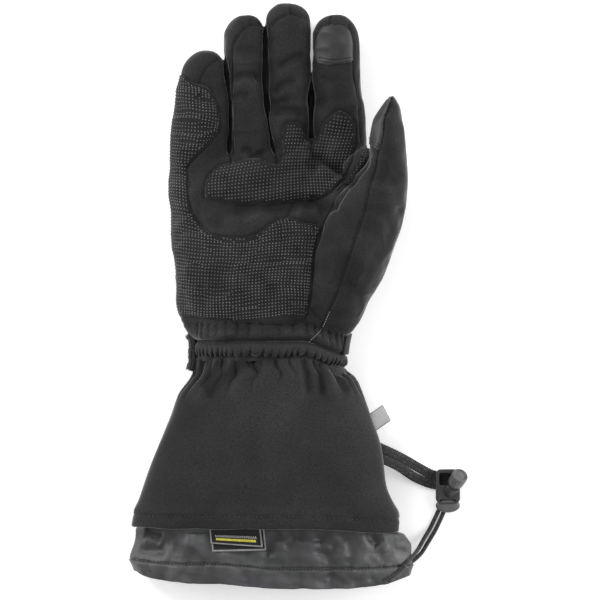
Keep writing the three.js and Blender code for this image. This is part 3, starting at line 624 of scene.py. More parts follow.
def node(material, kind, inputs=None, **settings):
    """A node of that kind. Each input is a value, or another node's output to link."""
    made = material.node_tree.nodes.new("ShaderNode" + kind)
    for key, value in settings.items():
        setattr(made, key, value)
    for key, value in (inputs or {}).items():
        if isinstance(value, bpy.types.NodeSocket):
            material.node_tree.links.new(value, made.inputs[key])
        else:
            made.inputs[key].default_value = value
    return made


def place_on(material, scale=(1.0, 1.0, 1.0), turn=0.0):
    """Object coordinates, turned about Z and scaled, as a socket."""
    coordinates = node(material, "TexCoord").outputs["Object"]
    inputs = {"Vector": coordinates, "Scale": scale, "Rotation": (0.0, 0.0, turn)}
    return node(material, "Mapping", inputs).outputs["Vector"]


def noise(material, size, detail=2.0, place=None, roughness=0.5):
    """Noise whose features are about size millimetres across."""
    inputs = {"Scale": 1 / (size * MM), "Detail": detail, "Roughness": roughness}
    inputs["Vector"] = place or place_on(material)
    return node(material, "TexNoise", inputs).outputs["Fac"]


def ribs(material, scale, direction, place=None):
    """Even waves across X or Y, scale of them in 314 mm, as a socket."""
    inputs = {"Vector": place or place_on(material), "Scale": scale}
    return node(material, "TexWave", inputs, bands_direction=direction).outputs["Fac"]


def ramp(material, factor, stops):
    """Colours blended by a factor, from (position, colour) stops."""
    made = node(material, "ValToRGB", {"Fac": factor})
    elements = made.color_ramp.elements
    while len(elements) < len(stops):
        elements.new(0.5)
    for element, (position, colour) in zip(elements, stops):
        element.position = position
        element.color = colour
    return made.outputs["Color"]


def speckled(material, share, base, fleck):
    """A colour multiplied by a share of another one, the fleck."""
    inputs = {0: share, 6: base, 7: fleck}
    return node(material, "Mix", inputs, data_type="RGBA", blend_type="MULTIPLY").outputs[2]


def summed(material, first, second, operation="ADD"):
    """Two values added, or put through another operation."""
    return node(material, "Math", {0: first, 1: second}, operation=operation).outputs[0]


def times_painted_shade(material, colour):
    """A colour times the piece's attribute of painted shade: darker in its hollows, lighter on top."""
    tone_and_painted_shade = node(material, "Attribute", attribute_name="tone_and_painted_shade").outputs["Fac"]
    scaled = node(material, "VectorMath", {0: colour, "Scale": tone_and_painted_shade}, operation="SCALE")
    return scaled.outputs[0]


def into_shader(material, **sockets):
    """Links colour, roughness and bump (height, distance in millimetres, strength) to the shader."""
    shader = material.node_tree.nodes["Principled BSDF"]
    links = material.node_tree.links
    if "colour" in sockets:
        links.new(sockets["colour"], shader.inputs["Base Color"])
    if "roughness" in sockets:
        links.new(sockets["roughness"], shader.inputs["Roughness"])
    if "bump" in sockets:
        height, distance, strength = sockets["bump"]
        inputs = {"Height": height, "Distance": distance * MM, "Strength": strength}
        links.new(node(material, "Bump", inputs).outputs["Normal"], shader.inputs["Normal"])
    return material


def softshell():
    """Matte black softshell: a fine peached face, a little uneven in tone."""
    material = finish("softshell", 0.76, 0.18, 0.75, 0.3)
    cloudy = noise(material, 28, 3.0)
    pores = noise(material, 1.0, 3.0)
    tone_and_painted_shade = ramp(material, cloudy, [(0.3, grey(32)), (0.7, grey(42))])
    fleck = ramp(material, pores, [(0.35, grey(165)), (0.65, grey(255))])
    # The colour is darkened by painted shade in the skin's creases, seams and gathers, and lightened on its
    # raised parts.
    colour = times_painted_shade(material, speckled(material, 0.8, tone_and_painted_shade, fleck))
    return into_shader(material, colour=colour, bump=(pores, 0.2, 0.6))


def cuff_cloth():
    """The cuff's softshell, with a slightly coarser knitted face."""
    material = finish("cuff_cloth", 0.8, 0.16, 0.75, 0.3)
    cloudy = noise(material, 34, 3.0)
    loops = noise(material, 1.0, 3.0, place_on(material, (1.0, 1.6, 1.0), 0.4))
    tone_and_painted_shade = ramp(material, cloudy, [(0.3, grey(42)), (0.7, grey(50))])
    fleck = ramp(material, loops, [(0.3, grey(140)), (0.7, grey(255))])
    # The colour is darkened by painted shade in the cuff's puckers and folds, and lightened where it stands
    # up.
    colour = times_painted_shade(material, speckled(material, 0.85, tone_and_painted_shade, fleck))
    return into_shader(material, colour=colour, bump=(loops, 0.3, 0.7))


def grip_knit():
    """The dark knitted ground between the silicone dots."""
    material = finish("grip_knit", 0.85, 0.12, 0.15, 0.5)
    place = place_on(material)
    knit = summed(material, ribs(material, 420.0, "X", place), ribs(material, 420.0, "Y", place))
    tone_and_painted_shade = ramp(material, noise(material, 9, 3.0), [(0.3, grey(20)), (0.7, grey(31))])
    # The colour is multiplied by the painted shade of the skin this cloth was cut from.
    return into_shader(material, colour=times_painted_shade(material, tone_and_painted_shade), bump=(knit, 0.12, 0.7))


def dot_rubber():
    """Grey silicone of the grip dots."""
    material = finish("dot_rubber", 0.36, 0.6)
    tone_and_painted_shade = ramp(material, noise(material, 3.5, 2.0), [(0.3, grey(54)), (0.7, grey(84))])
    # The colour is multiplied by the painted shade of the creases the dots sit in.
    return into_shader(material, colour=times_painted_shade(material, tone_and_painted_shade), bump=(noise(material, 0.3), 0.03, 0.4))


def touch_leather():
    """Smooth dark grey leather that works a touch screen."""
    material = finish("touch_leather", 0.5, 0.35, 0.12, 0.4)
    inputs = {"Vector": place_on(material), "Scale": 1100.0}
    grain = node(material, "TexVoronoi", inputs).outputs["Distance"]
    tone_and_painted_shade = ramp(material, noise(material, 6, 3.0), [(0.3, grey(42)), (0.7, grey(54))])
    # The colour is multiplied by painted shade: the skin's, and more on the index finger's patch.
    return into_shader(material, colour=times_painted_shade(material, tone_and_painted_shade), bump=(grain, 0.08, 0.5))


def skirt_nylon():
    """Thin grey nylon with a faint sheen and cool tints that change at random; painted shade darkens its
    folds.
    """
    material = finish("skirt_nylon", 0.42, 0.42, 0.12, 0.3)
    tint = noise(material, 30, 2.0, place_on(material, (1.0, 1.6, 1.0), 0.7))
    tone_and_painted_shade = ramp(material, tint, [
        (0.3, grey(56, (0.92, 1.06, 1.0))), (0.5, grey(60)), (0.7, grey(64, (1.02, 0.96, 1.12))),
    ])
    place = place_on(material)
    weave = summed(material, ribs(material, 700.0, "X", place), ribs(material, 700.0, "Y", place), "MULTIPLY")
    crumple = noise(material, 5, 3.0, roughness=0.6)
    relief = summed(material, summed(material, weave, 0.12, "MULTIPLY"), crumple)
    # The colour is darkened by painted shade in the skirt's folds and lightened on its billows.
    return into_shader(material, colour=times_painted_shade(material, tone_and_painted_shade), bump=(relief, 0.9, 0.35))


def lining_fleece():
    """Dark brushed lining."""
    material = finish("lining_fleece", 0.95, 0.05, 0.3, 0.6)
    nap = noise(material, 1.1, 4.0)
    tone_and_painted_shade = ramp(material, nap, [(0.3, grey(20)), (0.7, grey(38))])
    return into_shader(material, colour=tone_and_painted_shade, bump=(nap, 0.5, 0.7))


def strap_webbing():
    """Ribbed black webbing."""
    material = finish("strap_webbing", 0.75, 0.2, 0.2, 0.4)
    rows = ribs(material, 300.0, "Y")
    tone_and_painted_shade = ramp(material, noise(material, 1.2), [(0.3, grey(34)), (0.7, grey(48))])
    return into_shader(material, colour=tone_and_painted_shade, bump=(rows, 0.2, 0.7))


def hook_pile():
    """Black pile of the strap's fastener."""
    material = finish("hook_pile", 0.9, 0.12, 0.3, 0.5)
    loops = noise(material, 0.6, 3.0)
    tone_and_painted_shade = ramp(material, loops, [(0.3, grey(26)), (0.75, grey(66))])
    return into_shader(material, colour=tone_and_painted_shade, bump=(loops, 0.4, 0.8))


def cord_braid():
    """Black braided yarn with a few pale fibres."""
    material = finish("cord_braid", 0.7, 0.25, 0.25, 0.4)
    flecks = noise(material, 0.45, 2.0)
    tone_and_painted_shade = ramp(material, flecks, [(0.42, grey(30)), (0.6, grey(50)), (0.72, grey(130))])
    # The colour is multiplied by painted shade between the yarns and a painted highlight on their crests.
    return into_shader(material, colour=times_painted_shade(material, tone_and_painted_shade), bump=(flecks, 0.1, 0.6))


def hard(name, roughness, specular, cloud, levels, grain, depth, strength, detail=3.0):
    """Plastic or coated metal: clouds between two levels of grey, and a fine grain with a depth."""
    material = finish(name, roughness, specular)
    tone_and_painted_shade = ramp(material, noise(material, cloud, detail), [(0.3, grey(levels[0])), (0.7, grey(levels[1]))])
    return into_shader(material, colour=tone_and_painted_shade, bump=(noise(material, grain, 2.0), depth, strength))


def lock_plastic():
    """The lock's dark grey moulded plastic."""
    return hard("lock_plastic", 0.4, 0.45, 7, (44, 54), 0.35, 0.04, 0.5)


def lip_plastic():
    """The paler plastic of the lock's lip."""
    return hard("lip_plastic", 0.42, 0.45, 6, (80, 92), 0.35, 0.03, 0.4)


def button_plastic():
    """The plunger's paler grey plastic."""
    return hard("button_plastic", 0.36, 0.5, 8, (76, 90), 0.4, 0.04, 0.4)


def eyelet_metal():
    """Blackened eyelet."""
    return hard("eyelet_metal", 0.35, 0.5, 1.5, (30, 52), 0.5, 0.05, 0.5, detail=2.0)


def label_cloth():
    """Black woven label cloth."""
    material = finish("label_cloth", 0.7, 0.25, 0.1, 0.4)
    rows = ribs(material, 900.0, "Y")
    tone_and_painted_shade = ramp(material, rows, [(0.2, grey(16)), (0.8, grey(34))])
    return into_shader(material, colour=tone_and_painted_shade, bump=(rows, 0.08, 0.6))


def woven(name, level, tint=(1.0, 1.0, 1.0), uneven=0.12):
    """Woven cloth or yarn of one tone, more or less unevenly dyed, with a fine rib."""
    material = finish(name, 0.65, 0.25, 0.1, 0.4)
    rows = ribs(material, 800.0, "X")
    low, high = grey(level * (1 - uneven), tint), grey(level * (1 + 0.7 * uneven), tint)
    tone_and_painted_shade = ramp(material, noise(material, 1.5), [(0.3, low), (0.7, high)])
    return into_shader(material, colour=tone_and_painted_shade, bump=(rows, 0.06, 0.6))


# Camera, light and table

def make_camera():
    """A camera straight above the view's centre, far off, so that it sees almost no perspective."""
    camera = bpy.data.objects.new("camera", bpy.data.cameras.new("camera"))
    camera.data.sensor_width = SENSOR_WIDTH
    camera.data.lens = SENSOR_WIDTH * CAMERA_HEIGHT / VIEW_WIDTH
    camera.data.clip_end = 100.0
    camera.location = (VIEW_CENTRE[0] * MM, VIEW_CENTRE[1] * MM, CAMERA_HEIGHT * MM)
    bpy.context.scene.collection.objects.link(camera)
    bpy.context.scene.camera = camera


def soft_light(name, place, size, power):
    """A square studio light, places and size in metres, that looks at the middle of the glove."""
    light = bpy.data.objects.new(name, bpy.data.lights.new(name, "AREA"))
    light.data.shape = "SQUARE"
    light.data.size = size
    light.data.energy = power
    light.location = place
    light.visible_camera = False
    aim = np.array([0.02, 0.02, 0.02]) - np.array(place)
    down = math.acos(-aim[2] / np.linalg.norm(aim))
    round_z = math.atan2(aim[1], aim[0]) - math.pi / 2
    light.rotation_euler = (down, 0.0, round_z)
    bpy.context.scene.collection.objects.link(light)


# Square lights: name, place and size in metres, power in watts
LIGHTS = [
    ("key", (-0.9, 0.9, 1.0), 0.7, 15.0),
    ("fill", (1.2, 0.0, 0.9), 0.8, 7.0),
    ("left_rim", (-1.1, 0.2, 0.25), 0.5, 5.0),
    ("right_rim", (1.1, 0.2, 0.25), 0.5, 6.0),
]
WHITE = (1.0, 1.0, 1.0, 1.0)
SKY_STRENGTH = 0.6
TABLE_REACH = 6.0  # half the table's side, in metres
TABLE_DROP = 0.05  # the table lies this far below the glove, in millimetres
TABLE_GLOW = 0.3  # the table shines a little, so that shadows on it stay faint


def make_studio():
    """White surroundings, soft lights and a pale table."""
    scene = bpy.context.scene
    scene.view_settings.view_transform = "Standard"
    world = bpy.data.worlds.new("studio")
    world.use_nodes = True
    sky = world.node_tree.nodes["Background"]
    sky.inputs["Color"].default_value = WHITE
    sky.inputs["Strength"].default_value = SKY_STRENGTH
    scene.world = world
    for light in LIGHTS:
        soft_light(*light)
    corners = np.array([[-1, -1, 0], [1, -1, 0], [1, 1, 0], [-1, 1, 0]]) * TABLE_REACH / MM
    table = object_of("table", (corners - [0, 0, TABLE_DROP], [np.array([[0, 1, 2, 3]])]))
    material = finish("table_paint", 0.9, 0.1)
    shader = material.node_tree.nodes["Principled BSDF"]
    shader.inputs["Emission Color"].default_value = WHITE
    shader.inputs["Emission Strength"].default_value = TABLE_GLOW
    tone_and_painted_shade = ramp(material, noise(material, 400, 1.0), [(0.0, grey(250)), (1.0, grey(252))])
    into_shader(material, colour=tone_and_painted_shade)
    table.data.materials.append(material)


make_camera()
make_studio()


# The hand

HEEL_OUTLINE = [
    [-0.8, 1.46], [-0.456, 1.46], [-0.397, 1.416], [-0.315, 1.383], [-0.266, 1.267], [-0.261, 1.168],
    [-0.297, 1.107], [-0.363, 1.03], [-0.425, 0.953], [-0.422, 0.892], [-0.415, 0.788], [-0.396, 0.705],
    [-0.353, 0.644], [-0.302, 0.592], [-0.21, 0.573], [-0.107, 0.573], [-0.031, 0.617], [0.015, 0.656],
    [0.087, 0.675], [0.169, 0.65], [0.251, 0.628], [0.225, 0.534], [0.21, 0.38], [0.189, 0.193],
    [0.164, 0.12], [-0.456, 0.143], [-0.8, 0.143],
]
KNUCKLE_OUTLINE = [
    [-0.328, 0.788], [-0.32, 0.892], [-0.266, 0.958], [-0.164, 0.986], [-0.092, 1.0], [-0.031, 0.99],
    [0.02, 0.969], [0.06, 1.014], [0.06, 1.157], [0.097, 1.2], [0.155, 1.185], [0.18, 1.13],
    [0.205, 1.06], [0.235, 1.13], [0.274, 1.201], [0.351, 1.261], [0.42, 1.201], [0.42, 1.03],
    [0.388, 0.94], [0.348, 0.87], [0.29, 0.805], [0.215, 0.782], [0.123, 0.771], [0.056, 0.76],
    [-0.118, 0.749], [-0.21, 0.755], [-0.292, 0.777],
]
WEB_OUTLINE = [
    [0.5, 1.07], [0.46, 1.07], [0.447, 1.0], [0.412, 0.93], [0.372, 0.865], [0.33, 0.81],
    [0.36, 0.79], [0.44, 0.87], [0.5, 0.95],
]
INDEX_TIP_OUTLINE = [
    [0.23, 1.631], [0.241, 1.675], [0.266, 1.713], [0.317, 1.726], [0.363, 1.724], [0.399, 1.686],
    [0.415, 1.631], [0.415, 1.553], [0.409, 1.531], [0.328, 1.515], [0.241, 1.526],
]
THUMB_TIP_OUTLINE = [
    [0.872, 0.992], [0.85, 0.949], [0.82, 0.898], [0.805, 0.835], [0.784, 0.768], [0.746, 0.785],
    [0.701, 0.811], [0.678, 0.844], [0.707, 0.916], [0.779, 0.985], [0.851, 1.001],
]


def on_palm(outline):
    """An outline in shares of the palm's width and length, smoothed, in millimetres."""
    return rounded_line(np.array(outline) * [PALM_WIDTH, PALM_LENGTH], closed=True, spacing=2.0)


def on_thumb(outline):
    """An outline in shares of the thumb's reach and length, smoothed, in millimetres."""
    pairs = np.array(outline) * [THUMB_REACH, THUMB_LENGTH] + [0, THUMB_START]
    return rounded_line(pairs, closed=True, spacing=2.0)


# Seams seen from above, in millimetres
SEAMS = [
    # down the thumb
    [(77.7, 156.7), (76, 149.2), (72.8, 143), (71.5, 132.6), (68.9, 123.8), (67, 114.4), (63.1, 98.8),
     (59.5, 82.5), (54.3, 67), (48.8, 50.7), (42.9, 33.1), (37.7, 20.8), (31.2, 7.8)],
    # round the thumb's root
    [(62.4, 123.5), (61.1, 116.4), (52, 104), (42.2, 93.6), (38.4, 86.5), (32.5, 74.1), (31.2, 67),
     (27.9, 57.9), (26.7, 41), (24.4, 23.4)],
    # at the heel's corner
    [(24.1, 22.1), (32.2, 14.3)],
    # between the grip patches
    [(15.3, 90), (10.1, 79.6)],
    # round the middle finger's tip
    [(0.5, 203), (4.5, 207.3), (8.5, 209.6), (12.3, 210.6), (17.6, 210), (22.8, 208)],
    # up and round the ring finger
    [(-24, 120), (-24.6, 130), (-25, 150), (-24.7, 168), (-24.7, 183.3), (-24.4, 188.5), (-22.4, 194),
     (-17.6, 200.8), (-11.1, 204.1), (-4.9, 202.8)],
    # round the little finger's tip
    [(-33.8, 182.7), (-41.6, 176.2), (-46.1, 166.7)],
    # down the index finger
    [(50, 205), (52.6, 192.4), (53.3, 177.5), (55.2, 162.5), (56.6, 147.6), (58.5, 127.4)],
    # over the middle finger's end
    [(12.3, 217.5), (12.5, 210.6)],
    # over the ring finger's end
    [(-13.5, 209.5), (-12.8, 204)],
    # over the index finger's end
    [(38.6, 210), (38.2, 203.8)],
]

# Creases and folds of the hand: a line seen from above, its depth (negative where the cloth
# stands up) and its width, in millimetres
HAND_FOLDS = [
    ([(3, 176), (9, 179.5), (15.6, 183.3), (23, 185)], 0.9, 2.2),
    ([(3, 172), (12, 176), (20, 180)], -0.5, 3.0),
    ([(0, 159), (6, 164.5), (11, 167), (17, 166.5)], 1.0, 2.4),
    ([(2, 154), (9, 160), (18, 161)], -0.6, 3.2),
    ([(-1, 152), (6, 155), (14, 154)], 0.6, 2.2),
    ([(0, 145.5), (7.8, 149.5), (15.6, 148.5), (22, 144)], 1.0, 2.6),
    ([(3, 141), (10, 144.5), (17, 143)], -0.6, 3.2),
    ([(-24, 168.5), (-18, 171.5), (-12, 171.5), (-5, 168)], 1.1, 2.4),
    ([(-23, 164), (-15, 167), (-7, 164)], -0.6, 3.4),
    ([(-24.7, 156.5), (-19.5, 158.8), (-13, 157.5)], 0.7, 2.2),
    ([(-22, 190), (-15, 187), (-8, 188)], 0.4, 3.0),
    ([(-20, 120.5), (-17, 123.8), (-13, 122.6), (-10.4, 119.8), (-4, 122.4), (-1, 121)], 1.2, 1.8),
    ([(-18, 117), (-12, 117.5), (-5, 118)], -0.5, 3.0),
    ([(-48, 160), (-42, 156), (-36, 157)], 0.5, 3.0),
    ([(-34, 140), (-36, 128), (-44, 118)], 0.5, 4.0),
    ([(32, 172), (38, 168), (46, 170)], 0.5, 3.0),
    ([(29, 150), (33, 158), (31, 168)], 0.6, 3.0),
    ([(44, 166), (50, 158), (54, 148)], -0.4, 4.0),
    ([(-30, 84), (-10, 86.5), (8, 87.5), (22, 90), (36, 90)], 1.3, 4.0),
    ([(-34, 77), (-14, 79), (4, 79.5)], -0.8, 6.0),
    ([(16, 84), (26, 82), (33, 85)], -1.0, 4.5),
    ([(24, 94), (31, 91), (38, 87), (44, 86)], 1.4, 3.2),
    ([(26, 123), (34, 116), (42, 110.5), (49, 105.5), (56, 100)], 2.4, 3.7),
    ([(30, 112), (38, 106), (44, 100)], -0.8, 4.0),
    ([(28.5, 109), (27.2, 117), (26.6, 126)], 1.1, 2.4),
    ([(22, 118), (26, 112), (31, 108)], 0.8, 3.0),
    ([(-45, 84), (-36, 72), (-22, 64)], -0.7, 6.0),
    ([(60, 103), (67, 105), (76, 103), (86, 108)], 0.7, 3.0),
    ([(58, 97), (66, 99), (78, 97)], -0.4, 4.0),
    ([(74, 70), (80, 76), (85, 88)], 0.6, 4.0),
    ([(64, 52), (72, 62), (76, 74)], 0.5, 5.0),
    ([(52, 30), (60, 36), (66, 46)], 0.4, 5.0),
    ([(36, 60), (44, 72), (50, 88)], 0.4, 6.0),
]


def folded(points, normals, folds, fade_share=0.2):
    """How far each point stands out: for each fold, minus its depth times the bell
    exp(-(distance / width)^2), faded out over a share of the line at each of its ends, and where
    the cloth doesn't face up."""
    total = np.zeros(len(points))
    for line, depth, width in folds:
        path = rounded_line(line, spacing=max(1.0, width / 2))
        reach = 3 * width
        low, high = path.min(axis=0) - reach, path.max(axis=0) + reach
        near = ((points[:, :2] > low) & (points[:, :2] < high)).all(axis=1)
        distance, place = line_distance(points[near], path)
        fade = smoothstep(place, 0, fade_share) * smoothstep(1 - place, 0, fade_share)
        total[near] -= depth * np.exp(-((distance / width) ** 2)) * fade
    return total * smoothstep(normals[:, 2], -0.05, 0.4)


# Where neighbouring fingers meet, seen from above
FINGER_GAPS = [
    [(-24.8, 113), (-25.8, 118), (-26.7, 123), (-26.3, 138), (-26.7, 158), (-29, 178), (-32, 200)],
    [(6.4, 112), (4.8, 116), (3, 121), (-0.6, 136), (-2.9, 158), (-3.3, 178), (-3.5, 198), (-3.8, 214)],
    [(27.2, 118), (26.6, 126), (26.2, 134), (26.1, 156), (26.2, 170)],
]
# Where the thumb's root sinks into the palm. The skin is evened out this far from it, in so many rounds
THUMB_ROOT_LINE = [(42, 2), (33, 10), (27, 24), (27, 42), (28, 60), (31, 76), (36, 86)]
ROOT_REACH = 11.0
ROOT_ROUNDS = 160
# Where the thumb's side stands over the palm
THUMB_EDGE = [(37, 82), (44.5, 91.5), (54, 103.5), (61.5, 114.5), (65.5, 124)]
# The web of cloth that fills the corner between the palm and the thumb: middle of each ring
WEB_PATH = [(27, 66, 18), (34, 79, 24), (41.5, 91.5, 28), (50, 103.5, 30), (57.5, 114.5, 29), (63, 124.5, 25)]
WEB_HALF = (8.5, 12.0)  # half its width across the path, and half its height
VOXEL = 0.88
GATHER_REACH = 15.0  # how far the wrist's gathers run up the hand
RUFFLE_LINE = 8.5  # where the gathers end above the smooth band of the wrist seam


def round_wrist(x):
    """How far round the wrist a place is, from the thumb's side: the half width times the angle
    whose cosine is x in half widths."""
    half = WRIST_WIDTH / 2
    return half * np.arccos(np.clip(x / half, -1, 1))


def scallops(along, pitch, seed):
    """Rounded bulges from 0 to 1 with sharp grooves between them, at an uneven pitch: a sine's
    size to the power 0.6, at a place that soft noise shifts, less deep where other noise says."""
    line = np.stack([along, 0 * along, 0 * along], axis=-1)
    place = along / pitch + 0.55 * lattice_noise(line, 2.2 * pitch, seed)
    depth = 0.68 + 0.4 * lattice_noise(line, 1.7 * pitch, seed + 1)
    return 1 - depth * (1 - np.abs(np.sin(np.pi * place)) ** 0.6)


def web_rings():
    """Rings of the web, round at both ends: ellipses whose flat axis points across the path."""
    line = rounded_line(WEB_PATH, spacing=1.5)
    side = unit(np.cross(np.gradient(line, axis=0), UP))
    turn = full_turn(WEB_SIDES)[None, :, None]
    share = np.linspace(-0.995, 0.995, len(line))[:, None, None]
    size = np.sqrt(1 - share**4)
    wide = WEB_HALF[0] * size * np.cos(turn) * side[:, None]
    return line[:, None] + wide - WEB_HALF[1] * size * np.sin(turn) * UP


def hand_relief(points, normals):
    """What sewing and wear add to the hand's plain shape, in millimetres outwards, and its painted shade:
    darker in creases, seams, gaps and gathers, lighter where the cloth stands up.
    """
    up = smoothstep(normals[:, 2], -0.05, 0.4)
    folds = folded(points, normals, [(line, 1.8 * depth, width) for line, depth, width in HAND_FOLDS])
    softly = 1.3 * lattice_noise(points, 19.0, 3) + 0.8 * lattice_noise(points, 8.5, 4)
    wrinkles = ridged(points * [0.8, 1.4, 1], 13.0, 9) - 0.4
    folds += (0.25 + 0.75 * up) * (softly + 0.9 * wrinkles)
    seams = folded(points, normals, [(line, 0.9, 1.0) for line in SEAMS], 0.01)
    gaps = folded(points, normals, [(line, 2.6, 0.85) for line in FINGER_GAPS], 0.08)
    gaps += folded(points, normals, [(THUMB_EDGE, 1.6, 1.3)])
    for outline in (on_palm(HEEL_OUTLINE), on_palm(KNUCKLE_OUTLINE)):
        distance = inside(points, outline)
        seams -= 0.8 * np.exp(-((distance / 1.5) ** 2)) * up
        folds += 0.7 * smoothstep(-distance, 0, 7) * up
    above = points[:, 1] - wrist_line(points[:, 0])
    round_y = np.stack([0 * above, points[:, 1], 0 * above], axis=-1)
    along = round_wrist(points[:, 0]) + 1.2 * lattice_noise(round_y, 6.0, 7)
    puckers = scallops(along, 8.0, 5)
    ruffle = RUFFLE_LINE + 2.6 * scallops(along, 5.2, 8)
    strip = smoothstep(above, 1.0, 6.0) * (1 - smoothstep(above, RUFFLE_LINE, GATHER_REACH))
    gathers = 1.7 * strip * (puckers - 0.6) + 0.8 * np.exp(-(((above - 4.5) / 3.0) ** 2))
    gathers -= 1.5 * np.exp(-(((above - ruffle) / 1.1) ** 2)) * (1.15 - puckers)
    gathers -= 1.6 * np.exp(-((above / 1.0) ** 2))
    relief = folds + seams + gaps + gathers - 1.6 * smoothstep(-above, 0, 3)
    # Painted shade and light: the colour darkens in the creases, seams, gaps and gathers and lightens where
    # the cloth stands up.
    tone_and_painted_shade = np.exp(0.27 * np.clip(folds, -3.2, 1.2) + 0.45 * seams + 0.25 * gaps + 0.4 * gathers)
    return relief, tone_and_painted_shade


def relaxed(mesh, points, weight, rounds):
    """Moves points towards the mean of their neighbours, round after round, by a weight each."""
    weight = np.where(weight > 0.01, weight, 0.0)
    ends = np.empty(len(mesh.edges) * 2, np.int32)
    mesh.edges.foreach_get("vertices", ends)
    first, second = ends.reshape(-1, 2).T
    near = (weight[first] > 0) | (weight[second] > 0)
    first, second = first[near], second[near]
    count = len(points)
    links = np.maximum(np.bincount(first, minlength=count) + np.bincount(second, minlength=count), 1)
    for _ in range(rounds):
        total = [
            np.bincount(first, points[second, k], count) + np.bincount(second, points[first, k], count)
            for k in range(3)
        ]
        points = points + weight[:, None] * (np.stack(total, axis=1) / links[:, None] - points)
    return points


def make_hand():
    """Palm, fingers and thumb as one sewn skin: their plain shapes are joined by a fine voxel
    remesh and softened, then seams, creases and gathers move its points along their normals."""
    shapes = [tube(palm_rings()), tube(thumb_rings()), tube(web_rings())]
    shapes += [tube(finger_rings(place)) for place in range(4)]
    skin = object_of("hand_skin", joined(shapes))
    remesh = skin.modifiers.new("join", "REMESH")
    remesh.mode = "VOXEL"
    remesh.voxel_size = VOXEL * MM
    settle_modifiers(skin)
    smooth(skin, 0.5, 6)
    points, normals = read_points(skin.data), read_normals(skin.data)
    distance, _ = line_distance(points, rounded_line(THUMB_ROOT_LINE))
    weight = 0.9 * np.exp(-((distance / ROOT_REACH) ** 2)) * (normals[:, 2] > -0.3)
    points = relaxed(skin.data, points, weight, ROOT_ROUNDS)
    write_points(skin.data, points)
    normals = read_normals(skin.data)
    relief, tone_and_painted_shade = hand_relief(points, normals)
    points += normals * relief[:, None]
    points[:, 2] = np.maximum(points[:, 2], 0.0)
    write_points(skin.data, points)
    smooth(skin, 0.3, 1)
    # Keeps the painted shade of the creases and seams on the skin's points.
    paint_shade(skin.data, tone_and_painted_shade)
    open_end(skin, PALM_OPENING)
    skin.data.materials.append(softshell())
    skin.data.polygons.foreach_set("use_smooth", np.ones(len(skin.data.polygons), bool))
    nodes = ["palm_body", "finger_little", "finger_ring", "finger_middle", "finger_index", "thumb"]
    attach(skin, "shell", *nodes)
    return skin


def kept_faces(mesh, keep):
    """The points and faces of a mesh whose points are all kept, numbered anew."""
    faces = [f[keep[f].all(axis=1)] for f in read_faces(mesh)]
    faces = [f for f in faces if len(f)]
    used = np.unique(np.concatenate([f.ravel() for f in faces]))
    number = np.full(len(mesh.vertices), -1)
    number[used] = np.arange(len(used))
    return used, [number[f] for f in faces]


def read_painted_shade(mesh):
    """The factor of painted shade that was kept at each point."""
    flat = np.empty(len(mesh.vertices), np.float32)
    mesh.attributes["tone_and_painted_shade"].data.foreach_get("value", flat)
    return flat


def open_end(piece, low):
    """Cuts a closed skin open below a level of Y."""
    points, tone_and_painted_shade = read_points(piece.data), read_painted_shade(piece.data)
    used, faces = kept_faces(piece.data, points[:, 1] > low)
    old = piece.data
    piece.data = mesh_of(piece.name, points[used], faces)
    # The points that stay keep their painted shade.
    paint_shade(piece.data, tone_and_painted_shade[used])
    bpy.data.meshes.remove(old)


ANY_HEIGHT = (-1.0, 99.0)
BELOW_THUMB = (-1.0, 42.0)
EDGE_REACH = 0.75  # points of a cut cloth this near to its outline move onto it
CLOTH_GAP = 0.12


def cut_cloth(name, skin, outline, least_rise, thickness, material, heights=ANY_HEIGHT, painted_darkening=1.0):
    """A layer of cloth sewn on the hand: the skin's faces inside an outline and between two
    heights. Points near the edge move onto the outline, against the slope of their distance."""
    points, normals = read_points(skin.data), read_normals(skin.data)
    distance = inside(points, outline)
    keep = (distance < 0.5) & (normals[:, 2] > least_rise)
    keep &= (points[:, 2] > heights[0]) & (points[:, 2] < heights[1])
    used, faces = kept_faces(skin.data, keep)
    points, normals, distance = points[used], normals[used], distance[used]
    # The layer keeps the skin's painted shade, times a factor that darkens the whole layer with more painted
    # shade.
    tone_and_painted_shade = painted_darkening * read_painted_shade(skin.data)[used]
    step = 0.1
    slope = [(inside(points + shift, outline) - distance) / step for shift in np.eye(3)[:2] * step]
    slope = np.stack([*slope, np.zeros(len(points))], axis=1)
    slope -= normals * (slope * normals).sum(axis=1)[:, None]
    near = np.abs(distance) < EDGE_REACH
    points[near] -= (slope * distance[:, None])[near]
    layer = object_of(name, (points + normals * CLOTH_GAP, faces), material)
    paint_shade(layer.data, tone_and_painted_shade)
    solidify(layer, thickness, 1.0)
    return layer


def dot_shape():
    """A silicone dot: a seven-sided foot in the cloth, a steep side and a low pointed top."""
    n = 7
    turn = full_turn(n)
    ring = np.stack([np.cos(turn), np.sin(turn), 0 * turn], axis=1)
    low = ring * DOT_RADIUS + [0, 0, -0.1]
    high = ring * DOT_RADIUS * 0.78 + [0, 0, DOT_HEIGHT * 0.7]
    points = np.concatenate([low, high, [[0, 0, DOT_HEIGHT]]])
    k = np.arange(n)
    k2 = (k + 1) % n
    sides = np.stack([k, k2, k2 + n, k + n], axis=1)
    top = np.stack([k + n, k2 + n, np.full(n, 2 * n)], axis=1)
    return points, [sides, top]


def frames_on(grid):
    """A frame at each point of a grid laid on a surface: across, along and out, from the
    differences between its neighbours."""
    across = np.gradient(grid, axis=1)
    along = np.gradient(grid, axis=0)
    out = unit(np.cross(across, along), TINY)
    across = unit(across, TINY)
    return np.stack([across, np.cross(out, across), out], axis=-1)


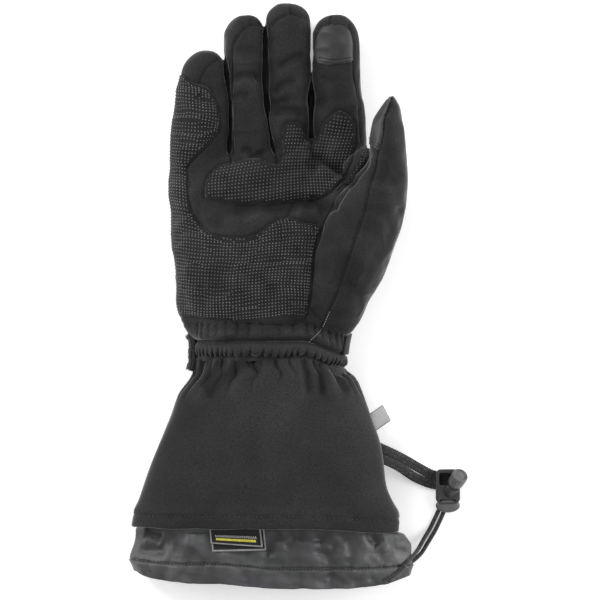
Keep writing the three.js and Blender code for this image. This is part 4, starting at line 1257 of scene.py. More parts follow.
def place_dots(name, grid, outline, least_rise, rubber):
    """Dots at the points of a grid, laid on the cloth, that lie inside an outline. Points that
    missed the cloth stayed at the height they were dropped from, and get none."""
    frames = frames_on(grid)
    flat = grid.reshape(-1, 3)
    frames = frames.reshape(-1, 3, 3)
    steps = np.linalg.norm(np.gradient(grid, axis=1), axis=-1).ravel()
    good = (inside(flat, outline) < -DOT_MARGIN) & (frames[:, 2, 2] > least_rise)
    good &= steps < 2.2 * DOT_PITCH
    good &= flat[:, 2] < DROP_HEIGHT - 1
    dot = dot_shape()
    dots = object_of(name, repeated(dot, flat[good], frames[good]), rubber)
    # Each dot takes the painted shade of the crease it sits in.
    _, tone_and_painted_shade = hand_relief(flat[good], frames[good][:, :, 2])
    paint_shade(dots.data, np.repeat(tone_and_painted_shade, len(dot[0])))
    return attach(dots, "grip")


def flat_lattice(low, high, pitch):
    """A square lattice of dots above a part of the palm, its rows and columns a little wavy."""
    x = np.arange(low[0], high[0], pitch)[None, :]
    y = np.arange(low[1], high[1], pitch)[:, None]
    x, y = np.broadcast_arrays(x, y)
    wavy_x = x + 1.6 * np.sin(y / 10) + 1.2 * np.sin((x + y) / 15) + 0.10 * (y - 100)
    wavy_y = y + 2.6 * np.sin(x / 15 + 0.6) + 1.2 * np.sin((x - y) / 12) + 0.06 * x
    return np.stack([wavy_x, wavy_y, np.full(x.shape, DROP_HEIGHT)], axis=-1)


def wrapped_lattice(skin, cloth, low, high, start_x):
    """A lattice whose columns keep their pitch along the surface while they run from a start line
    over the palm's outer side: the section's arc length on the skin, shared out row by row."""
    y = np.arange(low, high, DOT_PITCH)
    turn = np.linspace(0.12, 1.1, 400)[None, :] * np.pi
    palm = section(turn, np.minimum(y, PALM_LENGTH)[:, None], BODY_ROWS, GRIP_CLEAR)
    seams = np.array(SEAM_TABLE)
    seam_y = PALM_LENGTH + seams[:, 0] * (HAND_LENGTH - PALM_LENGTH)
    lines = monotone(y, seam_y, seams[:, 1:3]) * PALM_WIDTH
    half = (lines[:, 1] - lines[:, 0])[:, None] / 2 + GRIP_CLEAR
    finger_x = lines.mean(axis=1)[:, None] + half * bent(np.cos(turn))
    finger_z = 15.0 + (FINGER_THICKNESS * 0.55 + GRIP_CLEAR) * bent(np.sin(turn))
    share = smoothstep(y, PALM_LENGTH - 2, PALM_LENGTH + 12)[:, None]
    x = palm[..., 0] * (1 - share) + finger_x * share
    z = palm[..., 2] * (1 - share) + finger_z * share
    curve = np.stack([x, np.broadcast_to(y[:, None], x.shape), z], axis=-1)
    curve = laid_on(curve, skin, straight_down=False)
    steps = np.linalg.norm(np.diff(curve[..., [0, 2]], axis=1), axis=-1)
    along = np.concatenate([np.zeros((len(y), 1)), np.cumsum(steps, axis=1)], axis=1)
    columns = np.arange(-34, 46)
    rows = []
    for row, length in zip(curve, along):
        origin = np.interp(-start_x, -row[:, 0], length)
        wanted = origin + columns * DOT_PITCH + 1.5 * math.sin(row[0, 1] / 14)
        rows.append(np.stack([np.interp(wanted, length, column) for column in row.T], axis=1))
    grid = np.stack(rows)
    grid[..., 1] += 2.2 * np.sin(grid[..., 0] / 14 + 0.5) + 0.7 * np.sin((grid[..., 0] + grid[..., 1]) / 14)
    grid = grid[:, ::-1]
    return laid_on(grid + frames_on(grid)[..., 2] * GRIP_CLEAR / 2, cloth, straight_down=False)


def make_grip(skin, rubber):
    """The dotted layers of the palm: knitted ground cut from the skin, and its silicone dots."""
    knit = grip_knit()
    outline = on_palm(HEEL_OUTLINE)
    heel = cut_cloth("grip_heel_cloth", skin, outline, -0.45, PATCH_CLOTH, knit)
    attach(heel, "grip", "grip_patch_palm")
    lattice = wrapped_lattice(skin, heel, 15.0, 175.0, -33.0)
    place_dots("grip_heel_dots", lattice, outline, -0.4, rubber)
    for name, node_name, outline, pitch in (
        ("grip_knuckle", "grip_patch_knuckle", on_palm(KNUCKLE_OUTLINE), DOT_PITCH),
        ("grip_web", "grip_web", on_palm(WEB_OUTLINE), WEB_PITCH),
    ):
        cloth = cut_cloth(name + "_cloth", skin, outline, 0.15, PATCH_CLOTH, knit, heights=BELOW_THUMB)
        attach(cloth, "grip", node_name)
        lattice = flat_lattice(outline.min(axis=0) - 12, outline.max(axis=0) + 12, pitch)
        place_dots(name + "_dots", laid_on(lattice, cloth), outline, 0.15, rubber)


# The cuff

def ring_frames(rings):
    """Unit vectors out of a skin of rings and along it, from the differences between neighbours."""
    across = np.roll(rings, -1, axis=1) - np.roll(rings, 1, axis=1)
    along = np.gradient(rings, axis=0)
    out = unit(np.cross(along, across), TINY)
    along -= out * (along * out).sum(axis=-1, keepdims=True)
    return out, unit(along, TINY)


def walled(rings, wall, every=4, lip=5):
    """A closed wall behind a skin of rings: the skin, a half-round lip at each end, and an inner
    face that lies one wall's thickness inwards and has fewer rings."""
    out, along = ring_frames(rings)
    angle = np.linspace(0, np.pi, lip + 2)[1:-1, None, None]

    def edge(row, away):
        """The lip's rings at one end of the skin."""
        middle = rings[row] - out[row] * wall / 2
        return middle + wall / 2 * (out[row] * np.cos(angle) + away * along[row] * np.sin(angle))

    inner_rows = np.unique(np.append(np.arange(0, len(rings), every), len(rings) - 1))[::-1]
    inner = (rings - out * wall)[inner_rows]
    grid = np.concatenate([rings, edge(-1, 1.0), inner, edge(0, -1.0)[::-1]])
    return grid.reshape(-1, 3), [grid_faces(len(grid), grid.shape[1], loop=True)]


def wall_painted_shade(tone_and_painted_shade, count):
    """The painted shade of a walled skin's points: its outer face's, and 1, no painted shade, on the rest."""
    return np.concatenate([tone_and_painted_shade.ravel(), np.ones(count - tone_and_painted_shade.size)])


def hem_shift(x):
    """The hem hangs lower on the thumb's side."""
    return -HEM_DROP * smoothstep(x, 0.1 * CUFF_WIDTH, 0.45 * CUFF_WIDTH)


# Folds that hang from the wrist's gathers: a line seen from above, its depth and its width
CUFF_FOLDS = [
    ([(-6, -9), (-18, -14), (-32, -25), (-43, -38)], 1.7, 4.6),
    ([(-14, -9), (-27, -15), (-40, -26), (-52, -44)], -0.7, 6.0),
    ([(-26, -9), (-36, -19), (-44, -31)], 1.4, 3.2),
    ([(-38, -9), (-45, -16), (-50, -24)], 1.2, 2.6),
    ([(0, -10), (-6, -15), (-10, -20)], 0.8, 2.6),
    ([(20, -9), (22.5, -18), (24.7, -34)], 1.1, 2.6),
    ([(14, -10), (16, -24), (17, -40)], -0.5, 5.0),
    ([(30, -10), (32, -20), (33.8, -36)], 1.4, 2.8),
    ([(36, -11), (37.5, -22), (39, -36)], -0.7, 3.2),
    ([(42, -11), (43, -19), (50, -34)], 1.5, 3.0),
    ([(46, -10), (53, -18), (60, -32)], 0.9, 3.0),
]
STITCH_LINE = -111.0
CINCH_LINE = -9.5


def cuff_relief(turn, y, points, out):
    """The casing of the wrist's elastic puffs up between the seam and its cinch line. Sharp
    puckers cross that line, folds hang below it, and the hem bulges below its stitching."""
    below = -y
    column = section(turn, np.full(turn.shape, -4.0), BODY_ROWS)
    place = np.stack([column[..., 0], 0.1 * y, column[..., 2]], axis=-1)
    slant = np.stack([0 * y, y, 0.06 * column[..., 0]], axis=-1)
    along = round_wrist(column[..., 0]) + 1.3 * lattice_noise(slant, 5.0, 20)
    puckers = scallops(along, 5.2, 21)
    waves = lattice_noise(place, 24.0, 23)
    cinch = -CINCH_LINE - 3.2 * (1 - puckers) + 0.8 * lattice_noise(place, 9.0, 24)
    relief = 0.9 * np.sin(np.pi * np.clip(below / cinch, 0, 1))
    relief += 2.1 * (puckers - 0.8) * smoothstep(below, 0.8, 6) * (1 - smoothstep(below, 10, 18))
    hanging = smoothstep(below, 7, 12) * (1 - smoothstep(below, 12, 42))
    relief += 3.4 * (scallops(along, 11.0, 22) - 0.8) * hanging
    relief += 2.0 * waves * smoothstep(below, 10, 26) * (1 - smoothstep(below, 40, 95))
    relief -= 1.8 * np.exp(-(((below - cinch) / 1.25) ** 2))
    relief -= 1.3 * (1 - smoothstep(below, 0.2, 1.8))
    flat = points.reshape(-1, 3)
    folds = [(line, 1.5 * depth, width) for line, depth, width in CUFF_FOLDS]
    relief += folded(flat, out.reshape(-1, 3), folds).reshape(y.shape)
    relief += 0.6 * lattice_noise(points, 30.0, 25) + 0.3 * lattice_noise(points, 11.0, 26)
    relief -= 0.5 * np.exp(-(((y - STITCH_LINE) / 0.9) ** 2))
    ripple = lattice_noise(points, 4.5, 27)
    relief += 0.5 * ripple * np.exp(-(((y - STITCH_LINE) / 3.0) ** 2))
    # Painted shade and light: the colour darkens in the cinch line, puckers, folds and the stitching's
    # groove, and lightens where the cloth stands up.
    tone_and_painted_shade = np.exp(0.32 * np.clip(relief, -3.2, 0.8))
    relief += HEM_BULGE * smoothstep(below, -STITCH_LINE - 9, 3 - STITCH_LINE)
    beside = smoothstep(np.abs(points[..., 0] - CUFF_SWAY), 0.4 * CUFF_WIDTH, 0.5 * CUFF_WIDTH)
    relief += 1.1 * beside * np.exp(-(((below + STITCH_LINE + 4) / 5.0) ** 2))
    return relief, tone_and_painted_shade


def make_cuff():
    """The flared cuff: rounded sections from the hem up to the wrist seam, with a wall behind."""
    turn = full_turn(CUFF_SIDES)[None, :]
    low = -CUFF_LENGTH + CUFF_WALL / 2
    sparse, dense = np.linspace(low, -45, 66, endpoint=False), np.linspace(-45, 0.2, 80)
    y = np.concatenate([sparse, dense])[:, None]
    turn, y = np.broadcast_arrays(turn, y)
    rings = section(turn, y, BODY_ROWS)
    x = rings[..., 0]
    rings[..., 1] += (wrist_line(x) - 1.0) * smoothstep(y, -32, -2)
    rings[..., 1] += hem_shift(x) * (1 - smoothstep(y, STITCH_LINE, -85))
    rings[..., 1] += 0.7 * lattice_noise(rings * [1, 0, 1], 16.0, 28) * smoothstep(-y, 100, 118)
    out, _ = ring_frames(rings)
    relief, tone_and_painted_shade = cuff_relief(turn, y, rings, out)
    rings = rings + out * relief[..., None]
    rings[..., 2] = np.maximum(rings[..., 2], 0.0)
    cuff = object_of("cuff_skin", walled(rings, CUFF_WALL, every=6), cuff_cloth())
    # Keeps the painted shade on the cuff's outer face.
    paint_shade(cuff.data, wall_painted_shade(tone_and_painted_shade, len(cuff.data.vertices)))
    attach(cuff, "shell", "cuff")
    return cuff


def make_lining():
    """The fleece that shows where the hand goes in: rounded sections inside the cuff's wall."""
    y = np.linspace(-90, 96, 64)[:, None]
    turn = full_turn(LINING_SIDES)[None, :]
    inset = -CUFF_WALL - 1.0 - 1.5 * smoothstep(y, -14, 4)
    rings = section(turn, y, BODY_ROWS, inset)
    rings += ring_frames(rings)[0] * 0.8 * lattice_noise(rings, 14.0, 31)[..., None]
    points, (sides, _, finger_end) = tube(rings)
    lining = object_of("lining", (points, [sides, finger_end]), lining_fleece())
    solidify(lining, 0.6)
    attach(lining, "shell")


# The skirt

SKIRT_FOLDS = [
    ([(-4, -138), (2, -128), (8, -121)], 2.2, 4.0),
    ([(10, -121), (14, -127), (10, -133)], 1.4, 3.5),
    ([(16, -121), (24, -126), (36, -127)], 1.3, 3.0),
    ([(36, -121), (46, -130), (50, -141)], -1.2, 3.0),
    ([(54, -120), (60, -130), (58, -142), (52, -154)], -2.0, 4.0),
    ([(62, -121), (66, -127), (70, -131)], 2.4, 3.6),
    ([(-88, -136), (-80, -134), (-66, -137)], 1.5, 3.5),
    ([(-58, -121), (-67, -128), (-73, -137)], 1.6, 4.0),
    ([(-82, -121), (-76, -124), (-70, -127)], 3.0, 3.6),
    ([(-56, -125), (-46, -131), (-40, -140)], -1.2, 4.0),
    ([(-30, -136), (-22, -138), (-12, -136)], 0.9, 3.0),
    ([(70, -132), (78, -137), (84, -146)], -1.4, 4.0),
    ([(26, -132), (34, -136), (44, -134)], 1.1, 3.0),
    ([(-60, -146), (-52, -151), (-48, -157)], 1.0, 3.0),
    ([(2, -147), (12, -151), (18, -157)], 1.0, 3.0),
    ([(36, -148), (44, -152), (50, -158)], 1.1, 3.0),
    ([(-20, -147), (-14, -152), (-16, -157)], 0.8, 3.0),
    ([(62, -149), (66, -153), (74, -157)], 1.2, 2.6),
]
TUNNEL_TOP = -CUFF_LENGTH - SKIRT_LENGTH + TUNNEL_HEIGHT


def skirt_shift(x, y):
    """How far the skirt's points move up: its lower edge has rounded corners, and it hangs lower
    on the thumb's side."""
    share = x / SKIRT_WIDTH
    rounding = SKIRT_ROUNDING * np.minimum(1, np.abs(2 * share)) ** 6
    slant = SKIRT_SLANT * (1 - smoothstep(share, -0.2, 0.05))
    return rounding * smoothstep(-y, 138, 158) + slant * smoothstep(-y, 128, 144)


def creased(points, size, seed):
    """Facets of crumpled cloth: triangular waves across random directions. Each is strong only
    where soft noise of its own is high, and another noise bends it a little."""
    random = np.random.default_rng(seed)
    total = np.zeros(points.shape[:-1])
    for k in range(6):
        angle = random.uniform(0, np.pi)
        length = size * random.uniform(0.7, 1.6)
        place = points[..., 0] * math.cos(angle) + points[..., 1] * math.sin(angle)
        place = place + 0.3 * length * lattice_noise(points, 2 * size, seed + 10 + k)
        wave = np.abs((place / length + random.uniform()) % 1 - 0.5) - 0.25
        strong = smoothstep(lattice_noise(points, 1.5 * size, seed + 20 + k), -0.15, 0.4)
        total += 2 * wave * strong * length / size
    return total


def skirt_relief(y, points, out):
    """Billows, then the sharp creases of crumpled nylon, then fine puckers along the stitching."""
    relief = 1.8 * lattice_noise(points, 27.0, 44)
    relief += 2.2 * creased(points, 26.0, 400) + 0.6 * creased(points, 11.0, 450)
    relief += 0.3 * (ridged(points, 5.0, 48) - 0.4)
    x = points[..., 0]
    labels = smoothstep(x, -50, -38) * (1 - smoothstep(x, -6, 6)) * (1 - smoothstep(-y, 132, 140))
    relief *= smoothstep(-y, 116, 124) * (1 - 0.8 * labels)
    flat = points.reshape(-1, 3)
    relief += folded(flat, out.reshape(-1, 3), SKIRT_FOLDS).reshape(y.shape)
    beside = y - TUNNEL_TOP
    pucker = 0.4 - ridged(points * [1, 0.35, 1], 5.0, 47)
    relief += 0.9 * pucker * np.exp(-((beside / 3.5) ** 2))
    relief -= 0.9 * np.exp(-((beside / 0.8) ** 2))
    relief *= 0.35 + 0.65 * smoothstep(np.abs(out[..., 2]), 0.1, 0.6)
    # Painted shade and light: the colour darkens in the creases, folds and the stitching's groove and
    # lightens on the billows.
    tone_and_painted_shade = np.exp(0.24 * np.clip(relief, -3, 2))
    relief += TUNNEL_WALL * smoothstep(-beside, 0, 1.5)
    return relief, tone_and_painted_shade


def make_skirt():
    """The nylon skirt that hangs out of the cuff, with a doubled hem for the drawcord."""
    turn = full_turn(SKIRT_SIDES)[None, :]
    low = -CUFF_LENGTH - SKIRT_LENGTH + 0.5
    seen, hidden = np.linspace(low, -119, 70, endpoint=False), np.linspace(-119, -92, 16)
    y = np.concatenate([seen, hidden])[:, None]
    turn, y = np.broadcast_arrays(turn, y)
    shown = smoothstep(-y, 117.5, 121.5)[..., None]
    rings = section(turn, y, BODY_ROWS, -CUFF_WALL - 0.8) * (1 - shown)
    rings += section(turn, y, SKIRT_ROWS) * shown
    x = rings[..., 0]
    near_hem = smoothstep(-y, 85, 111) * (1 - smoothstep(-y, 128, 144))
    rings[..., 1] += hem_shift(x) * near_hem + skirt_shift(x, y)
    out, _ = ring_frames(rings)
    relief, tone_and_painted_shade = skirt_relief(y, rings, out)
    rings = rings + out * relief[..., None]
    rings[..., 2] = np.maximum(rings[..., 2], 0.0)
    skirt = object_of("skirt_cloth", walled(rings, 1.0, every=5, lip=3), skirt_nylon())
    # Keeps the painted shade on the skirt's outer face.
    paint_shade(skirt.data, wall_painted_shade(tone_and_painted_shade, len(skirt.data.vertices)))
    attach(skirt, "nylon", "gaiter")
    return skirt


# The strap

STRAP_TOP = 5.5
TUFT_COUNT = 4200


def strap_low(x):
    """The strap's lower edge, nearer to its upper one on the thumb's side."""
    share = (x / (0.55 * WRIST_WIDTH) + 1) / 2
    return STRAP_TOP - STRAP_WIDTH + share * (STRAP_WIDTH - STRAP_ROOT_WIDTH)


def bevel(piece, width, segments=2):
    """Rounds the sharp edges of a piece."""
    edges = piece.modifiers.new("edges", "BEVEL")
    edges.width = width * MM
    edges.segments = segments
    edges.limit_method = "ANGLE"
    return settle_modifiers(piece)


def make_strap():
    """The webbing across the back of the wrist, and the pile of its free end."""
    sides, rows = 150, 26
    turn = np.linspace(0.95, 2.12, sides)[None, :] * np.pi
    share = np.linspace(0, 1, rows)[:, None]
    x = section(turn, np.full(turn.shape, -5.0), BODY_ROWS, 1.3)[..., 0]
    y = STRAP_TOP + share * (strap_low(x) - STRAP_TOP)
    rings = section(turn, y, BODY_ROWS, STRAP_LIFT)[::-1]
    grid = rings.reshape(-1, 3), [grid_faces(rows, sides, ring=False)]
    band = object_of("wrist_strap_band", grid, strap_webbing())
    bevel(solidify(band, STRAP_THICKNESS), 0.4)
    attach(band, "webbing", "wrist_strap")
    sides, rows = 70, 44
    turn = np.linspace(0.955, 1.235, sides)[None, :] * np.pi
    y = np.linspace(-17, 4, rows)[:, None]
    rings = section(turn, y, BODY_ROWS, 4.2)
    from_ends = np.minimum(np.linspace(0, 1, sides), np.linspace(1, 0, sides))[None, :, None] * 18
    fuzz = 0.5 * lattice_noise(rings, 1.3, 51) + 0.4 * lattice_noise(rings, 3.0, 52)
    outwards = section(turn, y, BODY_ROWS, 5.2) - rings
    rings = rings + outwards * (fuzz[..., None] - 1.2 * (1 - np.clip(from_ends, 0, 1)))
    grid = rings.reshape(-1, 3), [grid_faces(rows, sides, ring=False)]
    pad = object_of("strap_pile", grid, hook_pile())
    solidify(pad, 1.6)
    tufts(pad, TUFT_COUNT)
    attach(pad, "pile", "strap_pad")


def tufts(pad, count):
    """Short loops of yarn that stand up at random places of the pile: thin three-sided cones."""
    random = np.random.default_rng(53)
    points, normals = read_points(pad.data), read_normals(pad.data)
    chosen = random.integers(0, len(points), count)
    out = unit(normals[chosen] + random.normal(0, 0.45, (count, 3)))
    side = unit(np.cross(out, random.normal(0, 1, (count, 3))))
    frames = np.stack([side, np.cross(out, side), out], axis=-1)
    turn = full_turn(3)
    cone = np.stack([0.2 * np.cos(turn), 0.2 * np.sin(turn), 0 * turn - 0.1], axis=1)
    cone = np.concatenate([cone, [[0.15, 0.12, 1.0]]])
    faces = [np.array([[0, 1, 3], [1, 2, 3], [2, 0, 3]])]
    yarn = object_of("strap_tufts", repeated((cone, faces), points[chosen], frames), hook_pile())
    attach(yarn, "pile")


# The labels, the tab and the eyelet

def between(corners, u, v):
    """Points in a four-cornered outline: blended along u at its top and its bottom, then along v."""
    a, b, c, d = np.asarray(corners, float)
    top = a + u[..., None] * (b - a)
    low = d + u[..., None] * (c - d)
    return top + v[..., None] * (low - top)


LABEL_FRONT = [(-39.2, -119.0), (-6.3, -119.0), (-4.9, -130.9), (-38.3, -128.4)]
LABEL_BACK = [(-39.0, -119.0), (-4.0, -119.0), (-2.7, -133.0), (-37.2, -133.8)]


def label_surface(corners, skirt, out, u, v):
    """Where a label's points lie: on the skirt but stiffer, so that the skirt's folds are evened
    out by a low-order polynomial in u and v that fits the heights."""
    grid_u, grid_v = np.meshgrid(np.linspace(0, 1, 16), np.linspace(0, 1, 10))
    flat = between(corners, grid_u, grid_v)
    high = np.concatenate([flat, np.full((*flat.shape[:2], 1), 80.0)], axis=-1)
    laid = laid_on(high, skirt)[..., 2].ravel()

    def terms(a, b):
        """All products of powers of a up to 3 and of b up to 2."""
        return np.stack([a**i * b**j for i in range(4) for j in range(3)], axis=-1)

    fit, *_ = np.linalg.lstsq(terms(grid_u.ravel(), grid_v.ravel()), laid, rcond=None)
    above = (laid - terms(grid_u.ravel(), grid_v.ravel()) @ fit).max()
    place = between(corners, u, v)
    height = terms(u, v) @ fit + out + 0.5 * max(above, 0)
    return np.concatenate([place, height[..., None]], axis=-1)


def label_patch(corners, skirt, out, low, high, slant=0.0):
    """A thin rectangle of a label's own u and v, on its surface."""
    count = (max(2, int((high[0] - low[0]) * 40) + 2), max(2, int((high[1] - low[1]) * 16) + 2))
    u, v = np.meshgrid(np.linspace(low[0], high[0], count[0]), np.linspace(low[1], high[1], count[1]))
    points = label_surface(corners, skirt, out, u + slant * (v - low[1]), v)
    return points.reshape(-1, 3), [grid_faces(count[1], count[0], ring=False)]


def make_labels(skirt):
    """Two woven labels under the hem, with grey edges, a yellow stripe and a row of hatching."""
    edge = woven("label_edge", 128)
    stripe = woven("label_stripe", 196, (1.0, 0.88, 0.12))
    marks = woven("label_marks", 205)
    for name, corners, out in (("back", LABEL_BACK, 0.9), ("front", LABEL_FRONT, 1.7)):
        cloth = label_patch(corners, skirt, out, (0, 0), (1, 1))
        label = object_of(f"size_label_{name}_cloth", cloth, label_cloth())
        bevel(solidify(label, 0.45), 0.12, 1)
        attach(label, "label", f"size_label_{name}")
        sides = [((0.0, 0.0), (0.03, 1.0)), ((0.97, 0.0), (1.0, 1.0)), ((0.0, 0.92), (1.0, 1.0))]
        shape = joined([label_patch(corners, skirt, out + 0.16, *span) for span in sides])
        border = object_of(f"size_label_{name}_edge", shape, edge)
        solidify(border, 0.2)
        attach(border, "label")
    shape = label_patch(LABEL_FRONT, skirt, 1.86, (0.11, 0.62), (0.88, 0.76))
    band = object_of("size_label_stripe", shape, stripe)
    solidify(band, 0.2)
    attach(band, "label")
    hatches = []
    for u in np.linspace(0.1, 0.87, 22):
        hatches.append(label_patch(LABEL_FRONT, skirt, 1.86, (u, 0.42), (u + 0.012, 0.56), 0.12))
    hatching = object_of("size_label_hatching", joined(hatches), marks)
    solidify(hatching, 0.2)
    attach(hatching, "label")


TAB_ROOT = (66.3, -51.2)
TAB_TURN = math.radians(28)
TAB_HEIGHT = 19.8
# Way out from the seam and height, round the loop of tape
TAB_PROFILE = [
    (-5, 0.7), (2, 0.75), (7.5, 0.7), (9.6, 0.45), (10, 0), (9.6, -0.4), (7.5, -0.55), (2, -0.5), (-5, -0.5),
]


def make_tab():
    """A folded tab of pale tape: a flat loop whose outer end is round, swept across its width."""
    profile = rounded_line(TAB_PROFILE, spacing=0.45)
    profile_top = np.flatnonzero((profile[:, 1] > 0.2) & (profile[:, 0] > -4))
    profile_end = int(np.argmax(profile[:, 0]))
    rows = 23
    across = np.linspace(-1, 1, rows)[:, None]
    thin = 1 - 0.35 * np.abs(across) ** 8
    along = np.broadcast_to(profile[None, :, 0], (rows, len(profile)))
    curl = 0.5 * (along / 10) ** 2 * (1 - across) - 0.35 * across**2
    height = profile[None, :, 1] * thin + curl
    side = 5.5 * across + 0.12 * along
    x = TAB_ROOT[0] + along * math.cos(TAB_TURN) - side * math.sin(TAB_TURN)
    y = TAB_ROOT[1] + along * math.sin(TAB_TURN) + side * math.cos(TAB_TURN)
    points = np.stack([x, np.broadcast_to(y, x.shape), TAB_HEIGHT + height], axis=-1)
    faces = [grid_faces(rows, len(profile))]
    tab = object_of("side_tab_tape", (points.reshape(-1, 3), faces), woven("tab_tape", 172, uneven=0.03))
    fill_ends(tab)
    attach(tab, "tab", "side_tab")
    lines = [points[0, profile_top], points[-1, profile_top], points[:, profile_end]]
    edges = [tube(thread_rings(line, 0.22)) for line in lines]
    attach(object_of("side_tab_edge", joined(edges), woven("tab_edge", 92, uneven=0.05)), "tab")


def fill_ends(piece):
    """Closes the open ends of a piece."""
    work = bmesh.new()
    work.from_mesh(piece.data)
    bmesh.ops.holes_fill(work, edges=[edge for edge in work.edges if edge.is_boundary])
    bmesh.ops.recalc_face_normals(work, faces=work.faces)
    work.to_mesh(piece.data)
    work.free()
    piece.data.polygons.foreach_set("use_smooth", np.ones(len(piece.data.polygons), bool))


def turned_shape(profile, sides, place, axis):
    """A profile of (radius, height) pairs turned round an axis through a place. It starts and
    ends on the axis, or closes on itself as a ring does."""
    profile = np.asarray(profile, float)
    closed = profile[0, 0] > 1e-6
    axis = unit(np.asarray(axis, float))
    side = unit(np.cross(axis, UP if abs(axis[2]) < 0.9 else [1.0, 0.0, 0.0]))
    turn = full_turn(sides)
    spoke = np.outer(np.cos(turn), side) + np.outer(np.sin(turn), np.cross(axis, side))
    kept = profile if closed else profile[1:-1]
    rings = kept[:, 1, None, None] * axis + kept[:, 0, None, None] * spoke[None]
    points = rings.reshape(-1, 3)
    rows = len(kept)
    faces = [grid_faces(rows, sides, loop=closed)[:, ::-1]]
    if not closed:
        k = np.arange(sides)
        k2 = (k + 1) % sides
        foot, top = rows * sides, rows * sides + 1
        points = np.concatenate([points, [profile[0, 1] * axis, profile[-1, 1] * axis]])
        last = (rows - 1) * sides
        faces.append(np.stack([np.full(sides, foot), k2, k], axis=1))
        faces.append(np.stack([np.full(sides, top), last + k, last + k2], axis=1))
    return points + np.asarray(place, float), faces


def rounded_profile(pairs, radius):
    """A profile with each corner cut by a short parabola, that starts radius before the corner."""
    pairs = np.asarray(pairs, float)
    made = [pairs[0]]
    for before, corner, after in zip(pairs[:-2], pairs[1:-1], pairs[2:]):
        into, away = before - corner, after - corner
        reach = min(radius, 0.45 * np.linalg.norm(into), 0.45 * np.linalg.norm(away))
        a = corner + unit(into) * reach
        b = corner + unit(away) * reach
        for t in (0.0, 0.5, 1.0):
            made.append((1 - t) ** 2 * a + 2 * t * (1 - t) * corner + t**2 * b)
    made.append(pairs[-1])
    return np.array(made)


EYELET_PLACE = (75.35, -152.15)


def make_eyelet(skirt):
    """A small dark ring pressed into the skirt's hem."""
    x, y = EYELET_PLACE
    steps = np.array([[0, 0], [2, 0], [-2, 0], [0, 1.4], [0, -1.4]])
    near = np.c_[steps + [x, y], np.full(len(steps), DROP_HEIGHT)]
    laid = laid_on(near, skirt)
    axis = np.cross(laid[1] - laid[2], laid[3] - laid[4])
    profile = [(1.5, -0.6), (3.0, -0.6), (3.25, 0.0), (3.15, 0.55), (2.7, 0.85), (2.1, 0.8), (1.6, 0.4)]
    place = laid[1:].mean(axis=0)
    ring = object_of("eyelet_ring", turned_shape(profile, 40, place, axis), eyelet_metal())
    attach(ring, "plastic", "gaiter_eyelet")
    return place


# The cord lock

LOCK_PLACE = np.array([114.7, -96.5])
LOCK_LIFT = 2.9
LOCK_THICKNESS = 4.6
BUTTON_FOOT = (117.0, -95.0, 7.5)
BUTTON_AXIS = (0.3346, 0.5795, 0.7431)
# Radius and height along the button's axis. Pressed by 3 mm, the button's stem stays clear of the
# bore's floor and its head clear of the plate
COLLAR_PROFILE = [(0, -4.0), (4.73, -4.0), (4.73, 3.4), (4.3, 4.0), (0, 4.0)]
BORE_PROFILE = [(0, -1.0), (3.75, -1.0), (3.75, 9.0), (0, 9.0)]
BUTTON_PROFILE = [
    (0, 2.2), (3.4, 2.2), (3.4, 7.8), (4.9, 7.8), (5.2, 8.1), (5.2, 14.4), (5.05, 14.55), (5.05, 14.9),
    (5.2, 15.05), (5.15, 15.8), (4.8, 16.2), (4.2, 16.2), (3.8, 15.4), (2.4, 15.45), (1.2, 15.7), (0, 15.8),
]


def slab(outline, low, high):
    """A flat block between two heights over an outline that runs anticlockwise."""
    outline = np.asarray(outline, float)
    n = len(outline)
    points = np.concatenate([np.c_[outline, np.full(n, low)], np.c_[outline, np.full(n, high)]])
    k = np.arange(n)
    k2 = (k + 1) % n
    sides = np.stack([k, k2, k2 + n, k + n], axis=1)
    return points, [sides, k[None, ::-1], (k + n)[None]]


def rounded_box(middle, size, radius):
    """The outline of a rectangle with round corners."""
    turn = np.linspace(0, np.pi / 2, 6)
    corner = np.stack([np.cos(turn), np.sin(turn)], axis=1) * radius
    half = np.asarray(size) / 2 - radius
    made = []
    for quarter in range(4):
        c, s = round(math.cos(quarter * math.pi / 2)), round(math.sin(quarter * math.pi / 2))
        turned = corner @ np.array([[c, s], [-s, c]])
        sign = np.array([[1, 1], [-1, 1], [-1, -1], [1, -1]])[quarter]
        made.append(turned + half * sign)
    return np.concatenate(made) + middle


def cut_or_join(piece, shape, operation):
    """Applies a boolean with a shape that is deleted after it."""
    other = object_of("cutter", shape)
    change = piece.modifiers.new("shape", "BOOLEAN")
    change.operation = operation
    change.object = other
    change.solver = "EXACT"
    settle_modifiers(piece)
    mesh = other.data
    bpy.data.objects.remove(other)
    bpy.data.meshes.remove(mesh)


